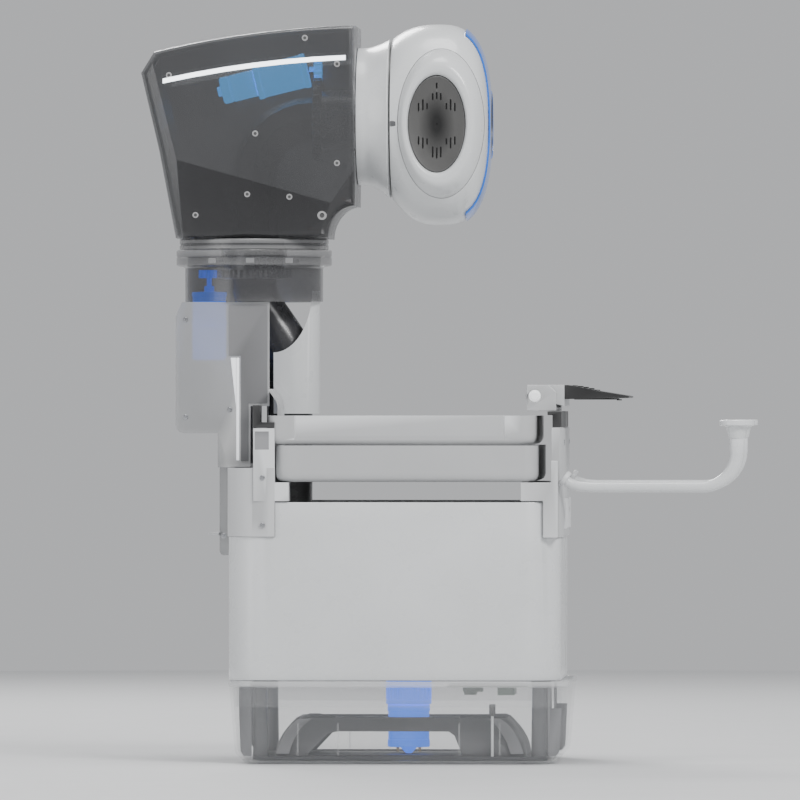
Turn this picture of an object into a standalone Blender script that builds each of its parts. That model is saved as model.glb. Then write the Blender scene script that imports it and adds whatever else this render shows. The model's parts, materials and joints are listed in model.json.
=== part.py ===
"""A table-tennis serving robot that hangs on the end of a table.

Balls fall into the tray, drop into the bucket, ride up the delivery tube and leave through two wheels in
the head. X runs from the column toward the table, Y across the robot, Z up. The origin is the middle of the
base's underside. Lengths are written in millimetres times MM, so the scene is in metres.
"""

import math

import bmesh
import bpy
from mathutils import Matrix, Vector

MM = 0.001
GAP = 0.4 * MM
SPLIT = 0.4 * MM  # between the near and far half of a shell
WALL = 3 * MM
REACH = 500 * MM  # past every part, for cutters that trim one side
SIDES = {"near": -1, "far": 1}

# Base pan and bucket
PAN_HEIGHT = 82 * MM
PAN_HALF = (170 * MM, 150 * MM)
BUCKET_X = -4.5 * MM
BUCKET_HALF = (165 * MM, 145 * MM)
BUCKET_CORNER = 40 * MM
BUCKET_TOP = 259 * MM
LIP_INSET = 5.5 * MM
LIP_BOTTOM = 56 * MM
FLOOR_BOTTOM = PAN_HEIGHT + GAP + WALL + GAP
FLOOR_TOP = FLOOR_BOTTOM + WALL
POST_PLACE = (138 * MM, 103 * MM)
SKIRT_TOP = 44 * MM

# Feed drive
FEED_X = 4.8 * MM
FEED_CAN_RADIUS = 21.3 * MM
FEED_BOX_RADIUS = 22.8 * MM
FEED_BOX_BOTTOM = 56 * MM
WHEEL_RADIUS = 128 * MM
WHEEL_TOP = 112 * MM
PADDLES = 8

# Ball path: 40 mm balls
TUBE_RADIUS = 22.5 * MM
TUBE_WALL = 1.5 * MM
TUBE_X = -114 * MM

# Pan axis and neck
PAN_X = -150 * MM
NECK_RADIUS = 69 * MM
NECK_BOTTOM = 458 * MM
COLLAR_RADIUS = 77.7 * MM
COLLAR_BOTTOM = 494 * MM
COLLAR_TOP = 509.8 * MM
TURNTABLE_RADIUS = 74.6 * MM
TURNTABLE_TOP = 520.6 * MM
PAN_MODULE = 2 * MM
PAN_TEETH = (9, 36)
PAN_GEAR_Z = (482 * MM, 490 * MM)
PAN_PINION_X = PAN_X - PAN_MODULE * sum(PAN_TEETH) / 2

# Roll axis and head
ROLL_Z = 640.8 * MM
ROLL_MODULE = 2.5 * MM
ROLL_TEETH = (8, 32)
ROLL_GEAR_X = (-90 * MM, -82 * MM)
ROLL_PINION_Z = ROLL_Z + ROLL_MODULE * sum(ROLL_TEETH) / 2
HOUSING_FRONT = -46 * MM
HOUSING_HALF = 75 * MM
HEAD_BACK = -11 * MM
HEAD_CREST = 36 * MM
HEAD_FRONT = 86 * MM
HEAD_Z = 635 * MM
SEAM_RADIUS = 80 * MM
CREST_HALF = (84 * MM, 100.4 * MM)
EXIT_RADIUS = 33 * MM
PANEL_HALF_Y = 40 * MM
LAUNCH_RADIUS = 35 * MM
LAUNCH_X = 36 * MM
LAUNCH_Z = {"upper": 691.7 * MM, "lower": 584.3 * MM}
POD_CENTRE = (39.75 * MM, HEAD_Z)
POD_HALF = (42.75 * MM, 74.2 * MM)
VENT_CENTRE = (36 * MM, 634.2 * MM)
VENT_HALF = (28.8 * MM, 48.5 * MM)

# Tray, brackets, ramp and arms
TRAY_HALF_Y = 147 * MM
BRACKET_HALF = (166.6 * MM, 148 * MM)
REAR_BRACKET_END = -121.8 * MM
REAR_BRACKET_BOTTOM = 224.8 * MM
FRONT_BRACKET_START = 143.2 * MM
FRONT_BRACKET_BOTTOM = 223.8 * MM
RAMP_PIN = (133.8 * MM, 364 * MM)
RAMP_HALF_Y = 90 * MM
ARM_Y = 130 * MM
ARM_Z = 274 * MM
ARM_END = (334.8 * MM, 321.6 * MM)

# Each moving body turns about an empty at its joint.
PIVOTS = {
    "base": (0, 0, 0),
    "feed": (FEED_X, 0, FLOOR_TOP),
    "pan_drive": (PAN_PINION_X, 0, PAN_GEAR_Z[0]),
    "turntable": (PAN_X, 0, COLLAR_TOP),
    "roll_drive": (ROLL_GEAR_X[0], 0, ROLL_PINION_Z),
    "head": (HEAD_BACK, 0, ROLL_Z),
    "upper_launch": (LAUNCH_X, 0, LAUNCH_Z["upper"]),
    "lower_launch": (LAUNCH_X, 0, LAUNCH_Z["lower"]),
    "ramp": (RAMP_PIN[0], 0, RAMP_PIN[1]),
}

# name: colour, roughness, metallic, alpha
LOOKS = {
    "clear": ((0.78, 0.80, 0.82), 0.12, 0.0, 0.35),
    "white": ((0.72, 0.73, 0.73), 0.35, 0.0, 1.0),
    "grey": ((0.50, 0.51, 0.51), 0.45, 0.0, 1.0),
    "dark": ((0.06, 0.06, 0.065), 0.40, 0.0, 1.0),
    "black": ((0.01, 0.01, 0.01), 0.45, 0.0, 1.0),
    "smoke": ((0.09, 0.09, 0.095), 0.15, 0.0, 0.8),
    "motor_blue": ((0.05, 0.33, 0.90), 0.30, 0.2, 1.0),
    "panel_blue": ((0.03, 0.20, 0.75), 0.20, 0.0, 1.0),
    "light": ((0.95, 0.97, 1.00), 0.30, 0.0, 1.0),
    "steel": ((0.55, 0.56, 0.58), 0.30, 1.0, 1.0),
    "rubber": ((0.03, 0.03, 0.03), 0.80, 0.0, 1.0),
    "board": ((0.02, 0.16, 0.07), 0.45, 0.0, 1.0),
}

# Matrices that stand a local XY outline up in the XZ or the YZ plane
TO_XZ = Matrix(((1, 0, 0), (0, 0, -1), (0, 1, 0))).to_4x4()
TO_YZ = Matrix(((0, 0, 1), (1, 0, 0), (0, 1, 0))).to_4x4()


# Scene helpers


def clear_scene():
    for obj in list(bpy.data.objects):
        bpy.data.objects.remove(obj)


def new_collection(name):
    collection = bpy.data.collections.new(name)
    bpy.context.scene.collection.children.link(collection)
    return collection


def new_material(name):
    colour, roughness, metallic, alpha = LOOKS[name]
    material = bpy.data.materials.new(name)
    material.use_nodes = True
    shader = material.node_tree.nodes["Principled BSDF"]
    shader.inputs["Base Color"].default_value = (*colour, 1)
    shader.inputs["Roughness"].default_value = roughness
    shader.inputs["Metallic"].default_value = metallic
    shader.inputs["Alpha"].default_value = alpha
    return material


def new_pivot(name, place):
    pivot = bpy.data.objects.new(f"{name}_pivot", None)
    pivot.location = place
    PARTS.objects.link(pivot)
    return pivot


def evaluated_mesh(obj):
    """The object's mesh with its modifiers applied, in world space; the object goes."""
    bpy.context.scene.collection.objects.link(obj)
    graph = bpy.context.evaluated_depsgraph_get()
    mesh = bpy.data.meshes.new_from_object(obj.evaluated_get(graph))
    bpy.data.objects.remove(obj)
    return mesh


def closed(mesh):
    """Welds coincident points and turns the faces outward."""
    bm = bmesh.new()
    bm.from_mesh(mesh)
    bmesh.ops.remove_doubles(bm, verts=bm.verts, dist=0.002 * MM)
    bmesh.ops.recalc_face_normals(bm, faces=bm.faces)
    bm.to_mesh(mesh)
    bm.free()
    return mesh


def mesh_from(bm):
    mesh = bpy.data.meshes.new("shape")
    bm.to_mesh(mesh)
    bm.free()
    return mesh


def add_part(name, mesh, look, body="base"):
    obj = bpy.data.objects.new(name, mesh)
    mesh.materials.clear()
    mesh.materials.append(MATERIALS[look])
    mesh.shade_smooth()
    mesh.set_sharp_from_angle(angle=math.radians(35))
    obj.parent = PIVOT_OBJECTS[body]
    obj.matrix_parent_inverse = Matrix.Translation(Vector(PIVOTS[body])).inverted()
    PARTS.objects.link(obj)
    return obj


def combine(obj, mesh, operation="DIFFERENCE"):
    """Cuts the mesh from the object, or joins it on with UNION."""
    cutter = bpy.data.objects.new(f"{obj.name}_cutter", mesh)
    cutter.hide_render = True
    cutter.display_type = "WIRE"
    CUTTERS.objects.link(cutter)
    boolean = obj.modifiers.new(operation.title(), "BOOLEAN")
    boolean.operation = operation
    boolean.object = cutter


# Shape helpers


def box(low, high):
    bm = bmesh.new()
    bmesh.ops.create_cube(bm, size=1)
    low, high = Vector(low), Vector(high)
    bmesh.ops.scale(bm, vec=high - low, verts=bm.verts)
    bmesh.ops.translate(bm, vec=(low + high) / 2, verts=bm.verts)
    return mesh_from(bm)


def joined(meshes):
    """Several separate closed meshes as one, for a single Boolean."""
    bm = bmesh.new()
    for mesh in meshes:
        bm.from_mesh(mesh)
    return mesh_from(bm)


def mirrored_boxes(low, high):
    """A box at +Y and its mirror image at -Y."""
    flipped = ((low[0], -high[1], low[2]), (high[0], -low[1], high[2]))
    return joined([box(low, high), box(*flipped)])


def turned(profile, place=(0, 0, 0), direction=(0, 0, 1), steps=24):
    """A closed (radius, height) profile turned about an axis through place."""
    mesh = bpy.data.meshes.new("profile")
    count = len(profile)
    edges = [(i, (i + 1) % count) for i in range(count)]
    if profile[0][0] == 0 and profile[-1][0] == 0:
        edges.pop()
    mesh.from_pydata([(radius, 0, height) for radius, height in profile], edges, [])
    obj = bpy.data.objects.new("turning", mesh)
    screw = obj.modifiers.new("Screw", "SCREW")
    screw.steps = screw.render_steps = steps
    screw.use_merge_vertices = True
    screw.merge_threshold = 0.01 * MM
    solid = closed(evaluated_mesh(obj))
    turn = Vector((0, 0, 1)).rotation_difference(Vector(direction)).to_matrix().to_4x4()
    solid.transform(Matrix.Translation(Vector(place)) @ turn)
    return solid


def cylinder(place, direction, radius, length, steps=24):
    """A cylinder that starts at place and runs along direction."""
    profile = [(0, length), (radius, length), (radius, 0), (0, 0)]
    return turned(profile, place, direction, steps)


def ring(place, direction, inner, outer, length, steps=24):
    profile = [(inner, length), (outer, length), (outer, 0), (inner, 0)]
    return turned(profile, place, direction, steps)


def extruded(outlines, low, high, turn=None):
    """A flat outline, with any holes after it, extruded from low to high along its normal."""
    curve = bpy.data.curves.new("outline", "CURVE")
    curve.dimensions = "2D"
    curve.fill_mode = "BOTH"
    curve.extrude = (high - low) / 2
    for outline in outlines:
        spline = curve.splines.new("POLY")
        spline.points.add(len(outline) - 1)
        for point, (x, y) in zip(spline.points, outline):
            point.co = (x, y, 0, 1)
        spline.use_cyclic_u = True
    mesh = closed(evaluated_mesh(bpy.data.objects.new("outline", curve)))
    mesh.transform(Matrix.Translation((0, 0, (low + high) / 2)))
    if turn:
        mesh.transform(turn)
    return mesh


def extruded_xz(outlines, low_y, high_y):
    """An (x, z) outline extruded from low_y to high_y; TO_XZ's normal points along -Y."""
    return closed(extruded(outlines, -high_y, -low_y, TO_XZ))


def extruded_yz(outlines, low_x, high_x):
    return extruded(outlines, low_x, high_x, TO_YZ)


def tube(points, radius, wall):
    """A hollow tube through the points, open at both ends."""
    curve = bpy.data.curves.new("route", "CURVE")
    curve.dimensions = "3D"
    curve.bevel_depth = radius
    curve.bevel_resolution = 2
    spline = curve.splines.new("POLY")
    spline.points.add(len(points) - 1)
    for point, place in zip(spline.points, points):
        point.co = (*place, 1)
    skin = closed(evaluated_mesh(bpy.data.objects.new("route", curve)))
    return thickened(skin, wall)


def thickened(mesh, wall, offset=-1):
    """An open surface made a wall thick, inward at -1 and outward at 1."""
    obj = bpy.data.objects.new("surface", mesh)
    solidify = obj.modifiers.new("Solidify", "SOLIDIFY")
    solidify.thickness = wall
    solidify.offset = offset
    solidify.use_even_offset = True
    return evaluated_mesh(obj)


def loft(rings, cap_start=False, whole=True):
    """Skins rings of 3-D points, each with the same count; whole rings close on themselves."""
    bm = bmesh.new()
    rows = [[bm.verts.new(point) for point in points] for points in rings]
    count = len(rows[0])
    for lower, upper in zip(rows, rows[1:]):
        for i in range(count if whole else count - 1):
            following = (i + 1) % count
            bm.faces.new((lower[i], lower[following], upper[following], upper[i]))
    if cap_start:
        bm.faces.new(reversed(rows[0]))
    return mesh_from(bm)


def arc(centre, radii, start, end, steps):
    """Points along an elliptic arc, with angles in degrees from +X."""
    points = []
    for i in range(steps + 1):
        angle = math.radians(start + (end - start) * i / steps)
        points.append((centre[0] + radii[0] * math.cos(angle), centre[1] + radii[1] * math.sin(angle)))
    return points


def ellipse(centre, radii, steps=24):
    return arc(centre, radii, 0, 360, steps)[:-1]


def rounded_rectangle(half, corner, centre_x=0, steps=4):
    """A rectangle of two half sizes with round corners, anticlockwise."""
    x, y = half[0] - corner, half[1] - corner
    points = []
    for corner_x, corner_y, start in ((x, y, 0), (-x, y, 90), (-x, -y, 180), (x, -y, 270)):
        points += arc((centre_x + corner_x, corner_y), (corner, corner), start, start + 90, steps)
    return points


def box_ring(height, half, corner, centre_x=0):
    return [(x, y, height) for x, y in rounded_rectangle(half, corner, centre_x)]


def inset(points, distance):
    """The anticlockwise outline moved inward by a distance."""
    moved = []
    count = len(points)
    for i in range(count):
        before, here, after = (Vector(points[(i + k) % count]) for k in (-1, 0, 1))
        first = (here - before).normalized()
        second = (after - here).normalized()
        normals = Vector((-first.y, first.x)) + Vector((-second.y, second.x))
        normals.normalize()
        stretch = normals.dot(Vector((-first.y, first.x)))
        moved.append(tuple(here + normals * distance / max(stretch, 0.5)))
    return moved


def through(start, middle, end, steps=6):
    """Points of a parabola that passes the three points, read at even spacing in X."""
    points = []
    for i in range(steps + 1):
        x = start[0] + (end[0] - start[0]) * i / steps
        z = 0
        for here, one, two in ((start, middle, end), (middle, start, end), (end, start, middle)):
            z += here[1] * (x - one[0]) * (x - two[0]) / ((here[0] - one[0]) * (here[0] - two[0]))
        points.append((x, z))
    return points


def gear_outline(teeth, module, centre=(0, 0), phase=0.0):
    """A spur gear with straight-sided teeth; phase is in tooth pitches."""
    pitch_radius = teeth * module / 2
    corners = ((-0.30, -1.15), (-0.10, 0.8), (0.10, 0.8), (0.30, -1.15))
    points = []
    for tooth in range(teeth):
        for along, height in corners:
            angle = (tooth + phase + along) * 2 * math.pi / teeth
            radius = pitch_radius + height * module
            points.append((centre[0] + radius * math.cos(angle), centre[1] + radius * math.sin(angle)))
    return points


def circle(centre, radius, steps=24):
    return ellipse(centre, (radius, radius), steps)


# Base


def make_base_pan():
    rings = [
        box_ring(0, (PAN_HALF[0] - 17.5 * MM, PAN_HALF[1] - 18 * MM), 30 * MM),
        box_ring(10 * MM, (PAN_HALF[0] - 6.5 * MM, PAN_HALF[1] - 7 * MM), 38 * MM),
        box_ring(PAN_HEIGHT, PAN_HALF, 42 * MM),
    ]
    add_part("base_pan", closed(thickened(loft(rings, cap_start=True), WALL)), "clear")


def make_bucket_shell():
    lip_half = [half - LIP_INSET for half in BUCKET_HALF]
    lip_corner = BUCKET_CORNER - LIP_INSET
    shelf = PAN_HEIGHT + GAP
    rings = [
        box_ring(LIP_BOTTOM, lip_half, lip_corner, BUCKET_X),
        box_ring(shelf, lip_half, lip_corner, BUCKET_X),
        box_ring(shelf, BUCKET_HALF, BUCKET_CORNER, BUCKET_X),
        box_ring(BUCKET_TOP, BUCKET_HALF, BUCKET_CORNER, BUCKET_X),
    ]
    shell = add_part("bucket_shell", closed(thickened(loft(rings), WALL)), "white")
    rear_low, front_low = REAR_BRACKET_BOTTOM - GAP, FRONT_BRACKET_BOTTOM - GAP
    rear = box((-REACH, -REACH, rear_low), (REAR_BRACKET_END + GAP, REACH, REACH))
    front = box((FRONT_BRACKET_START - GAP, -REACH, front_low), (REACH, REACH, REACH))
    combine(shell, joined([rear, front]))


def make_bucket_floor():
    half = [value - WALL - GAP for value in BUCKET_HALF]
    outline = rounded_rectangle(half, BUCKET_CORNER - WALL - GAP, BUCKET_X)
    shaft_hole = circle((FEED_X, 0), 9 * MM, 24)
    add_part("bucket_floor", extruded([outline, shaft_hole], FLOOR_BOTTOM, FLOOR_TOP), "grey")


def make_underframe():
    """The base plate with its skirt and four posts, moulded as one."""
    bottom, top = WALL + GAP, 2 * WALL + GAP
    plate = [rounded_rectangle((146 * MM, 112 * MM), 12 * MM), circle((FEED_X, 0), 12 * MM, 24)]
    frame = add_part("underframe", extruded(plate, bottom, top), "dark")
    rings = []
    for rise in (0, 0.5, 1):
        height = 5 * MM + (SKIRT_TOP - 5 * MM) * rise
        draw = 20.5 * MM * rise**2
        rings.append(box_ring(height, (125 * MM - draw, 100 * MM - draw), 25 * MM))
    combine(frame, closed(thickened(loft(rings), WALL)), "UNION")
    height = FLOOR_BOTTOM - GAP - 5 * MM
    posts = []
    for x in (-POST_PLACE[0], POST_PLACE[0]):
        for y in (-POST_PLACE[1], POST_PLACE[1]):
            posts.append(cylinder((x, y, 5 * MM), (0, 0, 1), 8 * MM, height, 12))
    combine(frame, joined(posts), "UNION")


def with_bore(bore, depth, profile):
    """A turned solid with a blind bore from its top; the profile starts at the bore's rim."""
    return [(0, depth), (bore, depth), *profile]


def make_feed_motor():
    can = [
        (0, FEED_BOX_BOTTOM - GAP),
        (FEED_CAN_RADIUS, FEED_BOX_BOTTOM - GAP),
        (FEED_CAN_RADIUS, 13.4 * MM),
        (8.5 * MM, 13.4 * MM),
        (3 * MM, 7 * MM),
        (0, 7 * MM),
    ]
    add_part("feed_motor_can", turned(can, (FEED_X, 0, 0)), "motor_blue")
    gearbox = [
        (3.6 * MM, PAN_HEIGHT),
        (FEED_BOX_RADIUS, PAN_HEIGHT),
        (FEED_BOX_RADIUS, FEED_BOX_BOTTOM),
        (0, FEED_BOX_BOTTOM),
    ]
    gearbox = with_bore(3.6 * MM, 70 * MM, gearbox)
    add_part("feed_gearbox", turned(gearbox, (FEED_X, 0, 0)), "motor_blue")


def make_motor_bracket():
    """A clamp ring round the feed motor with an arm to each side."""
    low, high = 33.7 * MM, 43.5 * MM
    bar = box((-69 * MM, -5 * MM, low), (56 * MM, 5 * MM, high))
    bracket = add_part("motor_bracket", bar, "grey")
    combine(bracket, cylinder((FEED_X, 0, low), (0, 0, 1), 26 * MM, high - low), "UNION")
    hole = cylinder((FEED_X, 0, low - WALL), (0, 0, 1), FEED_CAN_RADIUS + GAP, high - low + 2 * WALL)
    combine(bracket, hole)


def make_control_board():
    low = 74 * MM
    sheet = box((45 * MM, -50 * MM, low), (125 * MM, 50 * MM, low + 1.6 * MM))
    board = add_part("control_board", sheet, "board")
    chips = [
        box((60 * MM, -30 * MM, low - 5 * MM), (80 * MM, -10 * MM, low + 0.5 * MM)),
        box((60 * MM, 8 * MM, low - 9 * MM), (72 * MM, 40 * MM, low + 0.5 * MM)),
        box((95 * MM, -44 * MM, low - 8 * MM), (112 * MM, 20 * MM, low + 0.5 * MM)),
    ]
    combine(board, joined(chips), "UNION")


def make_feed_wheel():
    """A hub with paddles that push balls round to the delivery tube."""
    clear = 1.5 * MM
    hub = [
        (0, WHEEL_TOP + 14 * MM),
        (10 * MM, WHEEL_TOP + 12 * MM),
        (30 * MM, WHEEL_TOP - 6 * MM),
        (30 * MM, FLOOR_TOP + clear),
        (3 * MM, FLOOR_TOP + clear),
        (3 * MM, 71 * MM),
        (0, 71 * MM),
    ]
    wheel = add_part("feed_wheel", turned(hub, (FEED_X, 0, 0)), "grey", "feed")
    paddles = []
    for paddle in range(PADDLES):
        blade = box((25 * MM, -2 * MM, FLOOR_TOP + clear), (WHEEL_RADIUS, 2 * MM, WHEEL_TOP))
        blade.transform(Matrix.Rotation(2 * math.pi * paddle / PADDLES, 4, "Z"))
        blade.transform(Matrix.Translation((FEED_X, 0, 0)))
        paddles.append(blade)
    combine(wheel, joined(paddles), "UNION")


# Brackets and seals


def bracket_ring(low, high):
    half = BRACKET_HALF
    wall = 5 * MM
    outer = rounded_rectangle(half, 42 * MM, -4 * MM)
    inner = rounded_rectangle((half[0] - wall, half[1] - wall), 37 * MM, -4 * MM)
    return extruded([outer, inner], low, high)


def mirrored_plates(outline, low_y, high_y):
    return joined([extruded_xz([outline], low_y, high_y), extruded_xz([outline], -high_y, -low_y)])


def make_rear_bracket():
    bracket = add_part("rear_bracket", bracket_ring(REAR_BRACKET_BOTTOM, 292.8 * MM), "grey")
    combine(bracket, box((REAR_BRACKET_END, -REACH, 0), (REACH, REACH, REACH)))
    pillar = [
        (-143 * MM, 260 * MM),
        (-108 * MM, 260 * MM),
        (-108 * MM, 278.5 * MM),
        (-122 * MM, 278.5 * MM),
        (-122 * MM, 332 * MM),
        (-143 * MM, 332 * MM),
    ]
    combine(bracket, mirrored_plates(pillar, 118 * MM, 147.5 * MM), "UNION")
    seal = [
        (-143.6 * MM, 332.4 * MM),
        (-122.2 * MM, 332.4 * MM),
        (-122.2 * MM, 338 * MM),
        (-136 * MM, 338 * MM),
        (-136 * MM, 355 * MM),
        (-143.6 * MM, 355 * MM),
    ]
    for side, sign in SIDES.items():
        low, high = sorted((sign * 118 * MM, sign * 147 * MM))
        add_part(f"rear_seal_{side}", extruded_xz([seal], low, high), "black")


def make_front_bracket():
    bracket = add_part("front_bracket", bracket_ring(FRONT_BRACKET_BOTTOM, 332.5 * MM), "grey")
    combine(bracket, box((-REACH, -REACH, 0), (151.5 * MM, REACH, REACH)))
    cheek = [
        (FRONT_BRACKET_START, FRONT_BRACKET_BOTTOM),
        (158 * MM, FRONT_BRACKET_BOTTOM),
        (158 * MM, 300 * MM),
        (151 * MM, 300 * MM),
        (151 * MM, 278.5 * MM),
        (121 * MM, 278.5 * MM),
        (121 * MM, 260 * MM),
        (FRONT_BRACKET_START, 260 * MM),
    ]
    combine(bracket, mirrored_plates(cheek, 110 * MM, 143.5 * MM), "UNION")
    seal = [
        (152 * MM, 333 * MM),
        (161 * MM, 333 * MM),
        (161 * MM, 348.8 * MM),
        (147 * MM, 348.8 * MM),
        (147 * MM, 345 * MM),
        (152 * MM, 345 * MM),
    ]
    add_part("front_seal", extruded_xz([seal], -120 * MM, 120 * MM), "black")


# Tray


def tube_notch(low, high):
    """Room for the delivery tube and its shield at the tray's rear edge."""
    return cylinder((TUBE_X, 0, low), (0, 0, 1), TUBE_RADIUS + 1.5 * MM, high - low)


def make_tray():
    centre, half_x, corner = 8.4 * MM, 129.8 * MM, 14 * MM
    rings = []
    for height, draw in ((279, 7), (282, 2), (286, 0), (315, 0)):
        half = (half_x - draw * MM, TRAY_HALF_Y - draw * MM)
        rings.append(box_ring(height * MM, half, corner, centre))
    bowl = add_part("tray_bowl", closed(thickened(loft(rings, cap_start=True), WALL)), "white")
    combine(bowl, cylinder((20 * MM, 0, 270 * MM), (0, 0, 1), 50 * MM, 20 * MM))
    combine(bowl, tube_notch(270 * MM, 330 * MM))
    centre, half_x = 7.5 * MM, 128.5 * MM
    rings = []
    for height, draw in ((315.6, 7), (318, 2.5), (323, 0), (344.5, 0)):
        half = (half_x - draw * MM, TRAY_HALF_Y - draw * MM)
        rings.append(box_ring(height * MM, half, corner, centre))
    rim = add_part("tray_rim", closed(thickened(loft(rings), WALL)), "white")
    rear_wall = [
        (-118.2 * MM, 340 * MM),
        (-118.2 * MM, 353 * MM),
        (-120.4 * MM, 361.4 * MM),
        (-127.4 * MM, 371 * MM),
        (-130 * MM, 369.4 * MM),
        (-122.8 * MM, 359.6 * MM),
        (-121 * MM, 352 * MM),
        (-121 * MM, 340 * MM),
    ]
    combine(rim, extruded_xz([rear_wall], -110 * MM, 110 * MM), "UNION")
    combine(rim, box((-150 * MM, -32 * MM, 310 * MM), (-80 * MM, 32 * MM, 380 * MM)))


# Ramp that lies over the table


def make_hinge_block():
    low, high = 349.2 * MM, 353 * MM
    base = box((128 * MM, -101 * MM, low), (155 * MM, 101 * MM, high))
    block = add_part("hinge_block", base, "grey")
    pin_x, pin_z = RAMP_PIN
    cheek = [
        (126 * MM, low),
        (155 * MM, low),
        (155 * MM, 368 * MM),
        (148 * MM, 375 * MM),
        (126 * MM, 375 * MM),
    ]
    combine(block, mirrored_plates(cheek, RAMP_HALF_Y + GAP, 101 * MM), "UNION")
    combine(block, cylinder((pin_x, -120 * MM, pin_z), (0, 1, 0), 6 * MM + GAP, 240 * MM, 24))
    add_part("ramp_pin", cylinder((pin_x, -102 * MM, pin_z), (0, 1, 0), 6 * MM, 204 * MM, 24), "white")


def make_ramp():
    pin_x, pin_z = RAMP_PIN
    outer = 9.5 * MM
    barrel = arc((pin_x, pin_z), (outer, outer), 60, 330, 12)
    arm = [(163 * MM, 354 * MM), (163 * MM, 375 * MM), (145 * MM, 375 * MM)]
    hole = circle((pin_x, pin_z), 6 * MM + GAP, 24)
    carrier = extruded_xz([barrel + arm, hole], -RAMP_HALF_Y, RAMP_HALF_Y)
    add_part("ramp_carrier", carrier, "grey", "ramp")
    wedge = [
        (163.4 * MM, 360.5 * MM),
        (227.5 * MM, 362 * MM),
        (227.5 * MM, 364 * MM),
        (163.4 * MM, 375 * MM),
    ]
    add_part("ramp_plate", extruded_xz([wedge], -RAMP_HALF_Y, RAMP_HALF_Y), "black", "ramp")


# Arms that press up under the table


def make_support_arm(side, sign):
    end_x, end_z = ARM_END
    bend = 34.8 * MM
    route = [(163.2 * MM, 283.5 * MM), (169 * MM, 278 * MM), (178 * MM, 275 * MM), (190 * MM, ARM_Z)]
    route.append((240 * MM, ARM_Z))
    route += arc((end_x - bend, ARM_Z + bend), (bend, bend), 270, 360, 6)
    route.append((end_x, end_z))
    curve = bpy.data.curves.new("arm", "CURVE")
    curve.dimensions = "3D"
    curve.bevel_depth = 5.3 * MM
    curve.bevel_resolution = 2
    curve.use_fill_caps = True
    spline = curve.splines.new("POLY")
    spline.points.add(len(route) - 1)
    for index, (point, (x, z)) in enumerate(zip(spline.points, route)):
        point.co = (x, sign * ARM_Y, z, 1)
        point.radius = 1 + 0.4 * max(0, index - 4) / (len(route) - 5)
    mesh = closed(evaluated_mesh(bpy.data.objects.new("arm", curve)))
    add_part(f"support_arm_{side}", mesh, "white")
    low = end_z + GAP
    cup = [
        (0, 340.2 * MM),
        (17.5 * MM, 340.2 * MM),
        (17.5 * MM, 334.6 * MM),
        (11.4 * MM, 334 * MM),
        (8 * MM, low),
        (0, low),
    ]
    add_part(f"support_foot_{side}", turned(cup, (end_x, sign * ARM_Y, 0), steps=24), "white")


# Column and neck


def make_column():
    outline = [
        (-225 * MM, 443 * MM),
        *arc((-217 * MM, 335 * MM), (8 * MM, 8 * MM), 180, 270, 3),
        (-183 * MM, 327 * MM),
        *arc((-179 * MM, 209 * MM), (4 * MM, 4 * MM), 180, 270, 2),
        (-171.2 * MM, 205 * MM),
        (-171.2 * MM, 293.3 * MM),
        (-150.4 * MM, 293.3 * MM),
        (-150.4 * MM, 354 * MM),
        (-131.5 * MM, 354 * MM),
        (-131.5 * MM, NECK_BOTTOM - GAP),
        (-219 * MM, NECK_BOTTOM - GAP),
    ]
    cover = add_part("column_cover", extruded_xz([outline], -62 * MM, 62 * MM), "white")
    hollow = [
        (-222 * MM, 442.6 * MM),
        *arc((-217 * MM, 335 * MM), (5 * MM, 5 * MM), 180, 270, 3),
        (-180 * MM, 330 * MM),
        (-180 * MM, 296.3 * MM),
        (-100 * MM, 296.3 * MM),
        (-100 * MM, 470 * MM),
        (-216 * MM, 470 * MM),
    ]
    combine(cover, extruded_xz([hollow], -59 * MM, 59 * MM))
    combine(cover, mirrored_boxes((-200 * MM, 30 * MM, 200 * MM), (-140 * MM, 70 * MM, 292.9 * MM)))
    spine = [
        (-161 * MM, 296.8 * MM),
        (-151 * MM, 296.8 * MM),
        (-151 * MM, 354 * MM),
        (-140 * MM, 354 * MM),
        (-140 * MM, 400 * MM),
        (-161 * MM, 400 * MM),
    ]
    add_part("column_spine", extruded_xz([spine], -22 * MM, 22 * MM), "dark")


def make_delivery_tube():
    low, bend_low, bend_high = WHEEL_TOP + 4 * MM, 398 * MM, 476 * MM
    route = [(TUBE_X, 0, low)]
    steps = 8
    for step in range(steps + 1):
        rise = step / steps
        sway = (1 - math.cos(math.pi * rise)) / 2
        route.append((TUBE_X + (PAN_X - TUBE_X) * sway, 0, bend_low + (bend_high - bend_low) * rise))
    route.append((PAN_X, 0, 489.5 * MM))
    add_part("delivery_tube", tube(route, TUBE_RADIUS, TUBE_WALL), "dark")


def make_front_shield():
    """A half-round shield in front of the tube, cut away in a quarter ellipse toward the neck."""
    radius = 30 * MM
    rear = -129 * MM
    outer = arc((TUBE_X, 0), (radius, radius), -90, 90, 12)
    inner = arc((TUBE_X, 0), (radius - WALL, radius - WALL), 90, -90, 12)
    outline = [
        (rear, -radius),
        *outer,
        (rear, radius),
        (rear, radius - WALL),
        *inner,
        (rear, WALL - radius),
    ]
    shield = add_part("front_shield", extruded([outline], 346.4 * MM, 469 * MM), "white")
    opening = [ellipse((rear, 469.5 * MM), (38 * MM, 62 * MM), 32)]
    combine(shield, extruded_xz(opening, -2 * radius, 2 * radius))


def make_neck_drum():
    inner = NECK_RADIUS - 2.5 * MM
    bore = 33 * MM
    profile = [
        (bore, COLLAR_TOP),
        (COLLAR_RADIUS, COLLAR_TOP),
        (COLLAR_RADIUS, COLLAR_BOTTOM),
        (NECK_RADIUS, COLLAR_BOTTOM - 1 * MM),
        (NECK_RADIUS, NECK_BOTTOM),
        (inner, NECK_BOTTOM),
        (inner, 503 * MM),
        (bore, 503 * MM),
    ]
    add_part("neck_drum", turned(profile, (PAN_X, 0, 0), steps=32), "smoke")


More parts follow.
